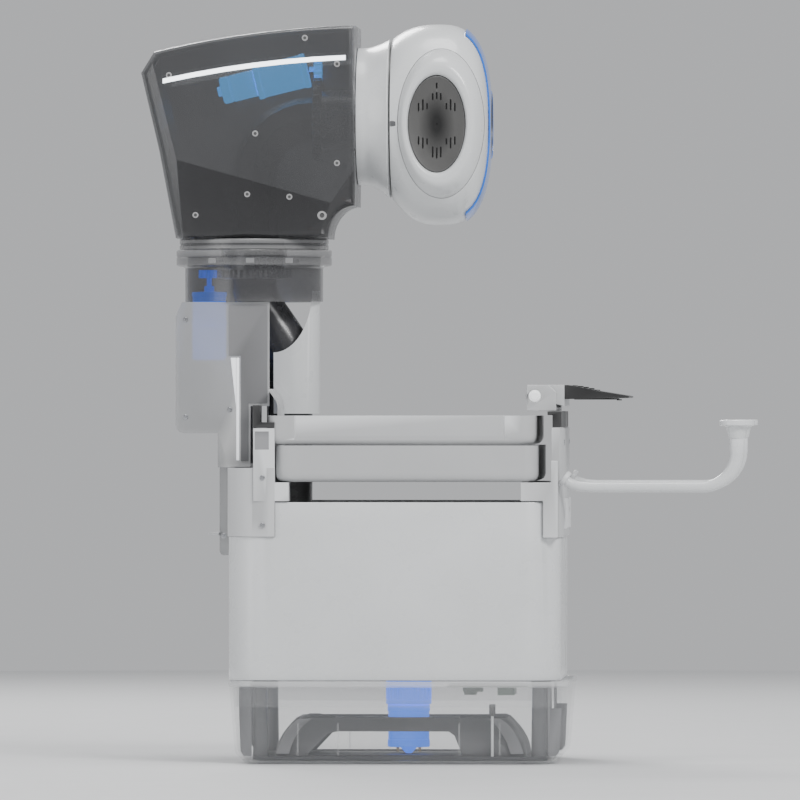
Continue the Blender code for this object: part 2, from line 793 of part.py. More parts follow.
def make_pan_motor():
    place = (PAN_PINION_X, 0, 0)
    can = cylinder((PAN_PINION_X, 0, 400 * MM), (0, 0, 1), 17 * MM, 34.6 * MM)
    add_part("pan_motor_can", can, "motor_blue")
    gearbox = [
        (2.9 * MM, 474 * MM),
        (5 * MM, 474 * MM),
        (5 * MM, 468 * MM),
        (17.5 * MM, 468 * MM),
        (17.5 * MM, 435 * MM),
        (0, 435 * MM),
    ]
    add_part("pan_gearbox", turned(with_bore(2.9 * MM, 460 * MM, gearbox), place), "motor_blue")
    low, high = PAN_GEAR_Z
    pinion = extruded([gear_outline(PAN_TEETH[0], PAN_MODULE, (PAN_PINION_X, 0), 0.5)], low, high)
    gear = add_part("pan_pinion", pinion, "motor_blue", "pan_drive")
    shaft = cylinder((PAN_PINION_X, 0, 462 * MM), (0, 0, 1), 2.5 * MM, low - 461 * MM, 16)
    combine(gear, shaft, "UNION")


# Turntable: everything that pans


def make_turntable():
    low = COLLAR_TOP + GAP
    hub = 30 * MM
    collar = ring((PAN_X, 0, low), (0, 0, 1), hub + GAP, TURNTABLE_RADIUS, TURNTABLE_TOP - low, 32)
    add_part("turntable_collar", collar, "smoke", "turntable")
    bore = TUBE_RADIUS + 3 * MM
    outlines = [gear_outline(PAN_TEETH[1], PAN_MODULE, (PAN_X, 0)), circle((PAN_X, 0), 28 * MM)]
    gear = add_part("pan_ring_gear", extruded(outlines, *PAN_GEAR_Z), "steel", "turntable")
    sleeve_low = PAN_GEAR_Z[0] - 1 * MM
    sleeve = ring((PAN_X, 0, sleeve_low), (0, 0, 1), bore, hub, TURNTABLE_TOP - 1 * MM - sleeve_low)
    combine(gear, sleeve, "UNION")


def housing_outline():
    """The housing from the side, anticlockwise from its front lower corner."""
    front = HOUSING_FRONT
    bottom = TURNTABLE_TOP + GAP
    top = through((front, 732.6 * MM), (-154 * MM, 724 * MM), (-246 * MM, 706.6 * MM))
    rear = [(-259.5 * MM, 685.7 * MM), (-241.5 * MM, 609 * MM), (-225 * MM, bottom)]
    cove = arc((front, bottom), (26.6 * MM, 32 * MM), 180, 90, 4)
    return [*top, *rear, *cove]


def make_housing(side, sign):
    outline = housing_outline()
    inner, outer = SPLIT / 2, HOUSING_HALF
    low, high = sorted((sign * inner, sign * outer))
    mesh = rounded_face(extruded_xz([outline], low, high), 1, sign * outer, 7 * MM)
    housing = add_part(f"housing_{side}", mesh, "smoke", "turntable")
    low, high = sorted((-sign * 2 * MM, sign * (outer - WALL)))
    combine(housing, extruded_xz([inset(outline, WALL)], low, high))
    neck = cylinder((HOUSING_FRONT - 10 * MM, 0, 643 * MM), (1, 0, 0), 66 * MM, 20 * MM, 32)
    base = cylinder((PAN_X, 0, TURNTABLE_TOP - 10 * MM), (0, 0, 1), 60 * MM, 20 * MM, 32)
    combine(housing, joined([neck, base]))


def rounded_face(mesh, axis, level, radius):
    """Rounds the outer edges of the flat face that lies at a level on the axis."""
    bm = bmesh.new()
    bm.from_mesh(mesh)
    bmesh.ops.dissolve_limit(bm, angle_limit=math.radians(1), verts=bm.verts, edges=bm.edges)
    edges = []
    for edge in bm.edges:
        flat = all(abs(vert.co[axis] - level) < 0.01 * MM for vert in edge.verts)
        if flat and edge.calc_face_angle(0) > math.radians(45):
            edges.append(edge)
    bmesh.ops.bevel(bm, geom=edges, offset=radius, segments=3, profile=0.5, affect="EDGES")
    bm.to_mesh(mesh)
    bm.free()
    return mesh


def make_led_strip(side, sign):
    line = through((-237 * MM, 677.2 * MM), (-153 * MM, 692 * MM), (-55 * MM, 700.4 * MM))
    half = 2.4 * MM
    outline = [(x, z - half) for x, z in line] + [(x, z + half) for x, z in reversed(line)]
    low, high = sorted((sign * (HOUSING_HALF + GAP), sign * (HOUSING_HALF + 1.4 * MM)))
    add_part(f"light_strip_{side}", extruded_xz([outline], low, high), "light", "turntable")


def make_roll_motor():
    tail = Vector((-182.5 * MM, 0, 669 * MM))
    nose = Vector((-96.5 * MM, 0, 690 * MM))
    along = (nose - tail).normalized()
    can = [(0, 35 * MM), (13.5 * MM, 35 * MM), (13.5 * MM, 0), (5 * MM, 0), (5 * MM, -4 * MM), (0, -4 * MM)]
    add_part("roll_motor_can", turned(can, tail, along, 24), "motor_blue", "turntable")
    start = tail + along * (35 * MM + GAP)
    gearbox = cylinder(start, along, 17.5 * MM, (nose - start).length, 24)
    add_part("roll_gearbox", gearbox, "motor_blue", "turntable")
    low, high = ROLL_GEAR_X
    outline = gear_outline(ROLL_TEETH[0], ROLL_MODULE, (0, ROLL_PINION_Z), 0.5)
    gear = add_part("roll_pinion", extruded_yz([outline], low, high), "motor_blue", "roll_drive")
    shaft = cylinder((-95 * MM, 0, ROLL_PINION_Z), (1, 0, 0), 2.5 * MM, low + 96 * MM, 16)
    combine(gear, shaft, "UNION")


def make_inner_chute():
    """Carries balls up the pan axis and round onto the roll axis."""
    bend = 58 * MM
    route = [(PAN_X, 0, 493 * MM)]
    for x, z in arc((PAN_X + bend, ROLL_Z - bend), (bend, bend), 180, 90, 8):
        route.append((x, 0, z))
    route.append((-15 * MM, 0, ROLL_Z))
    add_part("inner_chute", tube(route, TUBE_RADIUS, TUBE_WALL), "dark", "turntable")


def circle_yz(x, centre_z, radius, steps=32):
    return [(x, y, z) for y, z in circle((0, centre_z), radius, steps)]


def make_neck_cone():
    """The white neck flares from the housing to the head's seam."""
    start, end = HOUSING_FRONT + GAP, -14.2 * MM
    steps = 4
    rings = []
    for step in range(steps + 1):
        along = step / steps
        flare = max(0, (along - 0.25) / 0.75) ** 1.6
        centre = 643.4 * MM + (ROLL_Z - 643.4 * MM) * flare
        radius = 68.6 * MM + (SEAM_RADIUS - 0.4 * MM - 68.6 * MM) * flare
        rings.append(circle_yz(start + (end - start) * along, centre, radius))
    add_part("neck_cone", closed(thickened(loft(rings), WALL)), "white", "turntable")
    bearing = ring((-43 * MM, 0, ROLL_Z), (1, 0, 0), 29.5 * MM, 62 * MM, 7 * MM, 28)
    add_part("bearing_plate", bearing, "dark", "turntable")


def make_ball_sensor():
    mesh = box((-95 * MM, -10 * MM, 535 * MM), (-77 * MM, 10 * MM, 559 * MM))
    add_part("ball_sensor", mesh, "black", "turntable")


# Head: everything that rolls


def make_roll_gear():
    low, high = ROLL_GEAR_X
    bore = TUBE_RADIUS + 2.5 * MM
    outlines = [gear_outline(ROLL_TEETH[1], ROLL_MODULE, (0, ROLL_Z)), circle((0, ROLL_Z), 27 * MM)]
    gear = add_part("roll_gear", extruded_yz(outlines, low, high), "steel", "head")
    sleeve = [(bore, -8 * MM), (76 * MM, -8 * MM), (76 * MM, -11 * MM), (29 * MM, -11 * MM)]
    sleeve += [(29 * MM, low - 1 * MM), (bore, low - 1 * MM)]
    combine(gear, turned(sleeve, (0, 0, ROLL_Z), (1, 0, 0), 28), "UNION")


def head_section(x, grow=0.0, steps=10):
    """Half of the head's cross-section at x, as (y, z) from its lowest point round +Y to its highest."""
    crest_y, crest_z = CREST_HALF
    if x <= HEAD_CREST:
        rest = 1 - ((HEAD_CREST - x) / (HEAD_CREST - HEAD_BACK)) ** 2.6
        half_y = SEAM_RADIUS + (crest_y - SEAM_RADIUS) * rest
        half_z = SEAM_RADIUS + (crest_z - SEAM_RADIUS) * rest
        centre = ROLL_Z + (HEAD_Z - ROLL_Z) * rest
        power = 2 + 0.5 * rest
    else:
        ahead = (x - HEAD_CREST) / (HEAD_FRONT - HEAD_CREST)
        half_y = crest_y * (1 - ahead**5) ** (1 / 5)
        half_z = crest_z * (1 - ahead**2.8) ** (1 / 2.8)
        centre = HEAD_Z
        power = 2.5
    points = []
    for step in range(steps + 1):
        angle = math.pi * step / steps - math.pi / 2
        across, up = math.cos(angle), math.sin(angle)
        y = (half_y + grow) * abs(across) ** (2 / power)
        z = (half_z + grow) * math.copysign(abs(up) ** (2 / power), up)
        points.append((max(y, 0), centre + z))
    return points


def exit_section(steps=10):
    points = []
    for step in range(steps + 1):
        angle = math.pi * step / steps - math.pi / 2
        points.append((EXIT_RADIUS * math.cos(angle), HEAD_Z + EXIT_RADIUS * math.sin(angle)))
    return points


HEAD_STATIONS = (-11, -3, 9, 24, 40, 54, 65, 74, 80, 84.3)


def make_head_shell(side, sign):
    """One half of the head's shell, split from the other on the plane Y = 0."""
    rings = []
    for station in HEAD_STATIONS:
        section = head_section(station * MM)
        rings.append([(station * MM, sign * (y + SPLIT / 2), z) for y, z in section])
    rings.append([(HEAD_FRONT, sign * (y + SPLIT / 2), z) for y, z in exit_section()])
    skin = loft(rings, whole=False)
    if sign < 0:
        skin.flip_normals()
    shell = add_part(f"head_shell_{side}", closed(thickened(skin, 2.5 * MM)), "white", "head")
    low, high = sorted((sign * 40 * MM, sign * 95 * MM))
    half = [value + GAP for value in POD_HALF]
    combine(shell, extruded_xz([ellipse(POD_CENTRE, half)], low, high))
    low, high = sorted((-sign * 20 * MM, sign * SPLIT / 2))
    combine(shell, box((-20 * MM, low, 500 * MM), (95 * MM, high, 800 * MM)))


def make_side_pod(side, sign):
    low, high = sorted((sign * 62 * MM, sign * 90 * MM))
    drum = extruded_xz([ellipse(POD_CENTRE, POD_HALF)], low, high)
    mesh = rounded_face(drum, 1, sign * 90 * MM, 6 * MM)
    pod = add_part(f"side_pod_{side}", mesh, "white", "head")
    low, high = sorted((sign * 60 * MM, sign * 87 * MM))
    combine(pod, extruded_xz([ellipse(POD_CENTRE, [value - WALL for value in POD_HALF])], low, high))
    low, high = sorted((sign * 80 * MM, sign * 95 * MM))
    combine(pod, extruded_xz([ellipse(VENT_CENTRE, VENT_HALF)], low, high))


def vent_slots():
    """Upright slots in six places, set round the middle of the vent."""
    centre_x, centre_z = VENT_CENTRE
    slots = []
    for group_x, group_z in ((0, 36), (-14, 22), (14, 22), (-14, -20), (14, -20), (0, -34)):
        x, z = centre_x + group_x * MM, centre_z + group_z * MM
        half_x, half_z = 0.9 * MM, 4.5 * MM
        lower, upper = z - half_z, z + half_z
        slots.append([(x - half_x, lower), (x + half_x, lower), (x + half_x, upper), (x - half_x, upper)])
    return slots


def make_vent(side, sign):
    low, high = sorted((sign * 83.5 * MM, sign * 86 * MM))
    plate = ellipse(VENT_CENTRE, [value - GAP for value in VENT_HALF])
    add_part(f"side_vent_{side}", extruded_xz([plate, *vent_slots()], low, high), "dark", "head")


def make_front_panel():
    """The blue band that wraps the head's front, with the ball exit through it."""
    rings = []
    for station in HEAD_STATIONS[5:]:
        section = head_section(station * MM, 0.8 * MM)
        left = [(station * MM, y, z) for y, z in section]
        right = [(station * MM, -y, z) for y, z in reversed(section[1:-1])]
        rings.append(left + right)
    left = [(HEAD_FRONT + 0.8 * MM, y, z) for y, z in exit_section()]
    right = [(HEAD_FRONT + 0.8 * MM, -y, z) for y, z in reversed(exit_section()[1:-1])]
    rings.append(left + right)
    skin = loft(rings)
    panel = add_part("front_panel", closed(thickened(skin, 1.8 * MM, offset=1)), "panel_blue", "head")
    around = box((63 * MM, -PANEL_HALF_Y, 500 * MM), (95 * MM, PANEL_HALF_Y, 800 * MM))
    combine(panel, around, "INTERSECT")


def make_nozzle():
    nozzle = ring((69 * MM, 0, HEAD_Z), (1, 0, 0), 27 * MM, EXIT_RADIUS - 3.4 * MM, 16 * MM)
    add_part("nozzle_ring", nozzle, "black", "head")


def make_launch_drive():
    holes = [circle((LAUNCH_X, z), 5 * MM, 16) for z in LAUNCH_Z.values()]
    outline = rounded_rectangle((26 * MM, 74 * MM), 12 * MM, steps=3)
    plate = [(x + LAUNCH_X, z + 638 * MM) for x, z in outline]
    add_part("motor_plate", extruded_xz([plate, *holes], 11.8 * MM, 14.8 * MM), "steel", "head")
    for name, z in LAUNCH_Z.items():
        body = f"{name}_launch"
        can = [(17 * MM, 35 * MM), (17 * MM, 0), (0, 0)]
        can = with_bore(3 * MM, 12 * MM, [(3 * MM, 35 * MM), *can])
        motor = turned(can, (LAUNCH_X, 50.4 * MM, z), (0, -1, 0))
        add_part(f"wheel_motor_{name}", motor, "dark", "head")
        wheel = [
            (0, 11 * MM),
            (26 * MM, 11 * MM),
            (LAUNCH_RADIUS, 9 * MM),
            (LAUNCH_RADIUS - 3 * MM, 0),
            (LAUNCH_RADIUS, -9 * MM),
            (26 * MM, -11 * MM),
            (2.5 * MM, -11 * MM),
            (2.5 * MM, -22 * MM),
            (0, -22 * MM),
        ]
        add_part(f"launch_wheel_{name}", turned(wheel, (LAUNCH_X, 0, z), (0, -1, 0)), "rubber", body)


def build():
    make_base_pan()
    make_bucket_shell()
    make_bucket_floor()
    make_underframe()
    make_feed_motor()
    make_motor_bracket()
    make_control_board()
    make_feed_wheel()
    make_rear_bracket()
    make_front_bracket()
    make_tray()
    make_hinge_block()
    make_ramp()
    make_column()
    make_delivery_tube()
    make_front_shield()
    make_neck_drum()
    make_pan_motor()
    make_turntable()
    make_roll_motor()
    make_inner_chute()
    make_neck_cone()
    make_ball_sensor()
    make_roll_gear()
    make_front_panel()
    make_nozzle()
    make_launch_drive()
    for side, sign in SIDES.items():
        make_support_arm(side, sign)
        make_housing(side, sign)
        make_led_strip(side, sign)
        make_head_shell(side, sign)
        make_side_pod(side, sign)
        make_vent(side, sign)


clear_scene()
PARTS = new_collection("ball_robot")
CUTTERS = new_collection("cutters")
MATERIALS = {name: new_material(name) for name in LOOKS}
PIVOT_OBJECTS = {name: new_pivot(name, place) for name, place in PIVOTS.items()}
build()
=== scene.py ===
import json
import math

import bmesh
import bpy
from mathutils import Matrix, Vector


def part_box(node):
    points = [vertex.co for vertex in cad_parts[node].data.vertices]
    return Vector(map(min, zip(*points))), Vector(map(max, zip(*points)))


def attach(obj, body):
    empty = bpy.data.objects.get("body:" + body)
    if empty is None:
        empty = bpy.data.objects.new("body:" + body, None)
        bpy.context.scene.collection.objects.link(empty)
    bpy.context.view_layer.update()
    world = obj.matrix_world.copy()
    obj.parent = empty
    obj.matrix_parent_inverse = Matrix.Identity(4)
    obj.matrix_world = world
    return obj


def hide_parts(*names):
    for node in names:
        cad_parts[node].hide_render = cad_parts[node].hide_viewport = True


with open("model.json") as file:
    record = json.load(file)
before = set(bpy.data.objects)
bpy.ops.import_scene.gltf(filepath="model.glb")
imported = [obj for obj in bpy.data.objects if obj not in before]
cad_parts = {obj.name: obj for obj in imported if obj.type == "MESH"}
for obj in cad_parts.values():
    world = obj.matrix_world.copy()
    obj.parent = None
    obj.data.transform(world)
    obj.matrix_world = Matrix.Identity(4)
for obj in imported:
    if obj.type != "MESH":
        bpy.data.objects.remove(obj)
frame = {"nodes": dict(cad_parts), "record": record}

# Shapes are drawn in millimetres; in_metres brings them to the scene's unit.
MM = 0.001
TO_METRES = Matrix.Scale(MM, 4)
TO_MILLIMETRES = Matrix.Scale(1 / MM, 4)
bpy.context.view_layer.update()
BODY_OF = {node: body for body, nodes in frame["record"]["behaviour"]["bodies"].items() for node in nodes}
SIDES = {"near": -1, "far": 1}
UP = (0, 0, 1)
FORWARD = (1, 0, 0)
TOWARD_VIEWER = (0, -1, 0)
SHARP = math.radians(32)
MERGE = 0.005

WALL = 3
TUBE_X = -114
PAN_X = -150
HEAD_Z = 635
ROLL_Z = 640.8
COVER_SIDE = 61.4


# Places read from the frame


def limits(node):
    """The node's lowest and highest corner."""
    return [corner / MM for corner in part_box(node)]


def low(node):
    return limits(node)[0]


def high(node):
    return limits(node)[1]


def middle(node):
    return (low(node) + high(node)) / 2


def half_width(node):
    return (high(node)[0] - low(node)[0]) / 2


# Materials: every surface gets colour variation, uneven gloss and a fine relief


def new_tree(name):
    material = bpy.data.materials.new(name)
    material.use_nodes = True
    tree = material.node_tree
    return material, tree, tree.nodes["Principled BSDF"]


def noise(tree, scale, detail=4.0):
    """Noise in object space, where one unit is a metre."""
    place = tree.nodes.new("ShaderNodeTexCoord")
    texture = tree.nodes.new("ShaderNodeTexNoise")
    texture.inputs["Scale"].default_value = scale
    texture.inputs["Detail"].default_value = detail
    tree.links.new(place.outputs["Object"], texture.inputs["Vector"])
    return texture.outputs["Fac"]


def ramp(tree, source, first, last, start=0.35, end=0.65):
    """Colours or grey values between two ends of a noise."""
    node = tree.nodes.new("ShaderNodeValToRGB")
    node.color_ramp.elements[0].position = start
    node.color_ramp.elements[1].position = end
    node.color_ramp.elements[0].color = colour(first)
    node.color_ramp.elements[1].color = colour(last)
    tree.links.new(source, node.inputs["Fac"])
    return node.outputs["Color"]


def colour(value):
    if isinstance(value, (int, float)):
        return (value, value, value, 1)
    return (*value, 1)


def mixed(tree, mask, first, second):
    """The first colour, turning into a fixed second one where the mask is white."""
    mix = tree.nodes.new("ShaderNodeMixRGB")
    mix.inputs["Color2"].default_value = colour(second)
    tree.links.new(mask, mix.inputs["Fac"])
    tree.links.new(first, mix.inputs["Color1"])
    return mix.outputs["Color"]


def relief(tree, shader, source, strength, distance):
    bump = tree.nodes.new("ShaderNodeBump")
    bump.inputs["Strength"].default_value = strength
    bump.inputs["Distance"].default_value = distance
    tree.links.new(source, bump.inputs["Height"])
    tree.links.new(bump.outputs["Normal"], shader.inputs["Normal"])


def plastic(name, base, rough, shade, grain=900, depth=0.05, alpha=1.0, coat=0.0, edge=None):
    """Moulded plastic: cloudy colour, uneven gloss, fine grain and a painted highlight on its edges."""
    material, tree, shader = new_tree(name)
    darker = tuple(channel * shade for channel in base)
    clouds = ramp(tree, noise(tree, 9), darker, base)
    # Painted highlight: convex edges are lightened towards the edge colour, as if they caught the light.
    if edge:
        geometry = tree.nodes.new("ShaderNodeNewGeometry")
        painted_edge_highlight = ramp(tree, geometry.outputs["Pointiness"], 0.0, 1.0, 0.53, 0.60)
        clouds = mixed(tree, painted_edge_highlight, clouds, edge)
    tree.links.new(clouds, shader.inputs["Base Color"])
    tree.links.new(ramp(tree, noise(tree, 35), *rough), shader.inputs["Roughness"])
    relief(tree, shader, noise(tree, grain, 2), depth, 0.1 * MM)
    shader.inputs["Alpha"].default_value = alpha
    shader.inputs["Coat Weight"].default_value = coat
    shader.inputs["Coat Roughness"].default_value = 0.12
    return material


def metal(name, base):
    """Machined metal with fine scratches."""
    material, tree, shader = new_tree(name)
    darker = tuple(channel * 0.8 for channel in base)
    tree.links.new(ramp(tree, noise(tree, 60), darker, base), shader.inputs["Base Color"])
    scratches = noise(tree, 700, 3)
    tree.links.new(ramp(tree, scratches, 0.22, 0.38), shader.inputs["Roughness"])
    relief(tree, shader, scratches, 0.08, 0.05 * MM)
    shader.inputs["Metallic"].default_value = 1.0
    return material


def glowing(name, base, strength):
    """Plastic that gives off light of its own: lamp light on the light strips and light guides, and a painted
    glow on the motors and the ramp pin, which are no lamps.
    """
    material = plastic(name, base, (0.28, 0.4), 0.86, grain=500, coat=0.3)
    shader = material.node_tree.nodes["Principled BSDF"]
    shader.inputs["Emission Color"].default_value = colour(base)
    shader.inputs["Emission Strength"].default_value = strength
    return material


def vent_plastic_with_painted_shade():
    """Dark plastic with painted shade that deepens to black at the middle of the dish."""
    material = plastic("vent_dark", (0.085, 0.084, 0.082), (0.34, 0.5), 0.85, edge=0.16)
    tree = material.node_tree
    shader = tree.nodes["Principled BSDF"]
    clouds = shader.inputs["Base Color"].links[0].from_socket
    centre_x, centre_z = 36 * MM, 634 * MM
    half_x, half_z = 19 * MM, 36 * MM
    place = tree.nodes.new("ShaderNodeTexCoord")
    mapping = tree.nodes.new("ShaderNodeMapping")
    mapping.inputs["Scale"].default_value = (1 / half_x, 0, 1 / half_z)
    mapping.inputs["Location"].default_value = (-centre_x / half_x, 0, -centre_z / half_z)
    painted_shade_gradient = tree.nodes.new("ShaderNodeTexGradient")
    painted_shade_gradient.gradient_type = "SPHERICAL"
    tree.links.new(place.outputs["Object"], mapping.inputs["Vector"])
    tree.links.new(mapping.outputs["Vector"], painted_shade_gradient.inputs["Vector"])
    # Painted shade: black is mixed in towards the dish's middle, where its depth would shade it.
    mask = ramp(tree, painted_shade_gradient.outputs["Fac"], 0.0, 1.0, 0.05, 0.8)
    tree.links.new(mixed(tree, mask, clouds, 0.004), shader.inputs["Base Color"])
    return material


def white_looks():
    return {
        "white": plastic(
            "white_gloss",
            (0.70, 0.715, 0.72),
            (0.24, 0.36),
            0.95,
            depth=0.015,
            coat=0.35,
            edge=(0.8, 0.81, 0.82),
        ),
        "satin": plastic("white_satin", (0.50, 0.505, 0.51), (0.36, 0.5), 0.94, edge=(0.76, 0.77, 0.78)),
        "frost": plastic("frosted_cover", (0.42, 0.425, 0.43), (0.34, 0.46), 0.93, alpha=0.6, edge=0.75),
        "lip": plastic("bucket_lip", (0.72, 0.73, 0.74), (0.3, 0.42), 0.94, alpha=0.06),
        "foot": plastic("foot_rubber", (0.58, 0.585, 0.59), (0.5, 0.7), 0.93, grain=1200, depth=0.15),
        # Painted glow: the ramp pin and its caps give off light though they are no lamp.
        "glow_white": glowing("white_painted_glow", (0.9, 0.91, 0.92), 0.6),
        "light_soft": glowing("light_guide", (0.85, 0.87, 0.9), 0.8),
        "light": glowing("light_strip", (0.92, 0.96, 1.0), 3.0),
    }


def grey_looks():
    return {
        "grey": plastic("light_grey", (0.47, 0.475, 0.48), (0.38, 0.52), 0.92, edge=(0.62, 0.63, 0.64)),
        # Grey inlay on the column; on the rear bracket the same colour is painted recess shade.
        "inlay": plastic(
            "grey_inlay_and_painted_recess_shade", (0.15, 0.151, 0.155), (0.3, 0.42), 0.9, depth=0.02, edge=(0.3, 0.3, 0.31)
        ),
        "grey_dark": plastic("grey_inner", (0.085, 0.086, 0.09), (0.36, 0.5), 0.88, edge=(0.25, 0.25, 0.26)),
        "dark": plastic("dark_grey", (0.050, 0.050, 0.054), (0.34, 0.5), 0.8, edge=(0.13, 0.13, 0.14)),
        "black": plastic("black_plastic", (0.012, 0.012, 0.013), (0.32, 0.5), 0.7, edge=0.07),
        "rubber": plastic("black_rubber", (0.018, 0.018, 0.018), (0.6, 0.85), 0.7, grain=1500, depth=0.3),
        "vent": vent_plastic_with_painted_shade(),
    }


def see_through_looks():
    fine = {"grain": 130, "depth": 0.02}
    # Painted edge highlight colour for the smoked shells.
    painted_edge_highlight = (0.3, 0.3, 0.31)
    return {
        "smoke": plastic(
            "smoke_shell", (0.075, 0.076, 0.079), (0.2, 0.3), 0.85, alpha=0.66, coat=0.4, edge=painted_edge_highlight, **fine
        ),
        # Painted shade: a darker, denser copy of the smoke for the housing's facets that face downward.
        "smoke_painted_facet_shade": plastic(
            "smoke_painted_facet_shade", (0.032, 0.032, 0.034), (0.2, 0.32), 0.8, alpha=0.8, coat=0.35, edge=0.2, **fine
        ),
        "smoke_neck": plastic(
            "smoke_neck", (0.085, 0.085, 0.09), (0.2, 0.3), 0.85, alpha=0.5, coat=0.3, edge=0.4, **fine
        ),
        "smoke_collar": plastic(
            "smoke_collar", (0.115, 0.116, 0.12), (0.2, 0.32), 0.85, alpha=0.86, coat=0.3, edge=0.4
        ),
        "smoke_ring": plastic("smoke_ring", (0.12, 0.12, 0.124), (0.25, 0.38), 0.85, edge=0.45),
        "tube_dark": plastic(
            "tube_dark", (0.06, 0.06, 0.064), (0.18, 0.3), 0.8, alpha=0.9, coat=0.2, edge=0.2
        ),
        "clear": plastic(
            "clear_pan", (0.55, 0.56, 0.57), (0.10, 0.2), 0.92, alpha=0.12, coat=0.5, edge=0.9, **fine
        ),
        "clear_edge": plastic(
            "clear_edge", (0.74, 0.75, 0.76), (0.12, 0.22), 0.92, alpha=0.42, coat=0.5, edge=0.9, **fine
        ),
    }


def coloured_looks():
    return {
        # Painted glow: the motors give off light so that they stand out vividly through the smoked covers;
        # the roll motor's lighter cyan and stronger glow are painted light as well.
        "motor": glowing("motor_blue", (0.0, 0.16, 0.92), 1.1),
        "motor_cyan_painted_glow": glowing("motor_cyan_painted_glow", (0.02, 0.42, 1.0), 3.6),
        "panel_blue": plastic("panel_blue", (0.02, 0.17, 0.72), (0.12, 0.22), 0.85, coat=0.6),
        "board": plastic("green_board", (0.015, 0.12, 0.045), (0.3, 0.5), 0.75, grain=300),
        "brown": plastic("copper_brown", (0.11, 0.055, 0.03), (0.35, 0.5), 0.7),
        "orange": plastic("orange_mark", (0.75, 0.10, 0.02), (0.35, 0.5), 0.9),
        "steel": metal("machined_steel", (0.52, 0.53, 0.55)),
        "brass": metal("brass_pins", (0.55, 0.36, 0.14)),
    }


# Pieces


def in_metres(shapes):
    """One mesh, or a list joined into one, brought from millimetres to metres."""
    mesh = joined(shapes) if isinstance(shapes, list) else shapes
    mesh.transform(TO_METRES)
    return mesh


def add_mesh(name, mesh, look, node, replaces=()):
    """A piece that rides with a node's body; it may stand for CAD nodes."""
    piece = bpy.data.objects.new(name, mesh)
    bpy.context.scene.collection.objects.link(piece)
    mesh.materials.clear()
    mesh.materials.append(LOOKS[look])
    mesh.shade_smooth()
    mesh.set_sharp_from_angle(angle=SHARP)
    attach(piece, BODY_OF[node])
    if replaces:
        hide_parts(*replaces)
    return piece


def add_piece(name, shapes, look, node):
    return add_mesh(name, in_metres(shapes), look, node)


def stand_in(name, shapes, look, node):
    """A piece that stands for its node, which it hides."""
    return add_mesh(name, in_metres(shapes), look, node, [node])


def rounded_node(node, look, width=0.8, segments=2):
    """The CAD node with its edges rounded, as a piece that stands for it."""
    mesh = frame["nodes"][node].data.copy()
    bm = bmesh.new()
    bm.from_mesh(mesh)
    bmesh.ops.remove_doubles(bm, verts=bm.verts, dist=MERGE * MM)
    bmesh.ops.dissolve_limit(bm, angle_limit=math.radians(0.5), verts=bm.verts, edges=bm.edges)
    bm.to_mesh(mesh)
    bm.free()
    piece = add_mesh(f"{node}_body", mesh, look, node, [node])
    return soften(piece, width, segments)


def soften(piece, width, segments=2, angle=32):
    """Rounds the sharp edges."""
    bevel = piece.modifiers.new("Bevel", "BEVEL")
    bevel.width = width * MM
    bevel.segments = segments
    bevel.limit_method = "ANGLE"
    bevel.angle_limit = math.radians(angle)
    bevel.harden_normals = True
    return piece


def cut(piece, shapes, operation="DIFFERENCE"):
    """Cuts or joins one mesh or a list, and applies the result."""
    cutter = bpy.data.objects.new("cutter", in_metres(shapes))
    bpy.context.scene.collection.objects.link(cutter)
    boolean = piece.modifiers.new("Boolean", "BOOLEAN")
    boolean.operation = operation
    boolean.object = cutter
    graph = bpy.context.evaluated_depsgraph_get()
    result = bpy.data.meshes.new_from_object(piece.evaluated_get(graph))
    piece.modifiers.remove(boolean)
    result.materials.clear()
    result.materials.append(piece.data.materials[0])
    piece.data = result
    result.shade_smooth()
    result.set_sharp_from_angle(angle=SHARP)
    bpy.data.objects.remove(cutter)


def screws(name, places, direction, radius, node, depth=1.6):
    """Button-head screws with a socket, all in one piece."""
    head = [
        (0, 0.3 * depth),
        (0.42 * radius, 0.3 * depth),
        (0.46 * radius, depth),
        (0.8 * radius, 0.9 * depth),
        (radius, 0.35 * depth),
        (radius, 0),
        (0, 0),
    ]
    add_piece(name, [turned(head, place, direction, 18) for place in places], "steel", node)


# Meshes


def cleaned(mesh):
    bm = bmesh.new()
    bm.from_mesh(mesh)
    bmesh.ops.remove_doubles(bm, verts=bm.verts, dist=MERGE)
    bmesh.ops.recalc_face_normals(bm, faces=bm.faces)
    bm.to_mesh(mesh)
    bm.free()
    return mesh


def mesh_from(bm):
    mesh = bpy.data.meshes.new("shape")
    bm.to_mesh(mesh)
    bm.free()
    return mesh


def evaluated(piece):
    bpy.context.scene.collection.objects.link(piece)
    graph = bpy.context.evaluated_depsgraph_get()
    mesh = bpy.data.meshes.new_from_object(piece.evaluated_get(graph))
    bpy.data.objects.remove(piece)
    return mesh


def joined(meshes):
    bm = bmesh.new()
    for mesh in meshes:
        bm.from_mesh(mesh)
    return mesh_from(bm)


def box(lowest, highest):
    bm = bmesh.new()
    bmesh.ops.create_cube(bm, size=1)
    lowest, highest = Vector(lowest), Vector(highest)
    bmesh.ops.scale(bm, vec=highest - lowest, verts=bm.verts)
    bmesh.ops.translate(bm, vec=(lowest + highest) / 2, verts=bm.verts)
    return mesh_from(bm)


def spun(mesh, degrees, centre_x):
    """Turns a mesh about Z and then moves it along X."""
    turn = Matrix.Rotation(math.radians(degrees), 4, "Z")
    mesh.transform(Matrix.Translation((centre_x, 0, 0)) @ turn)
    return mesh


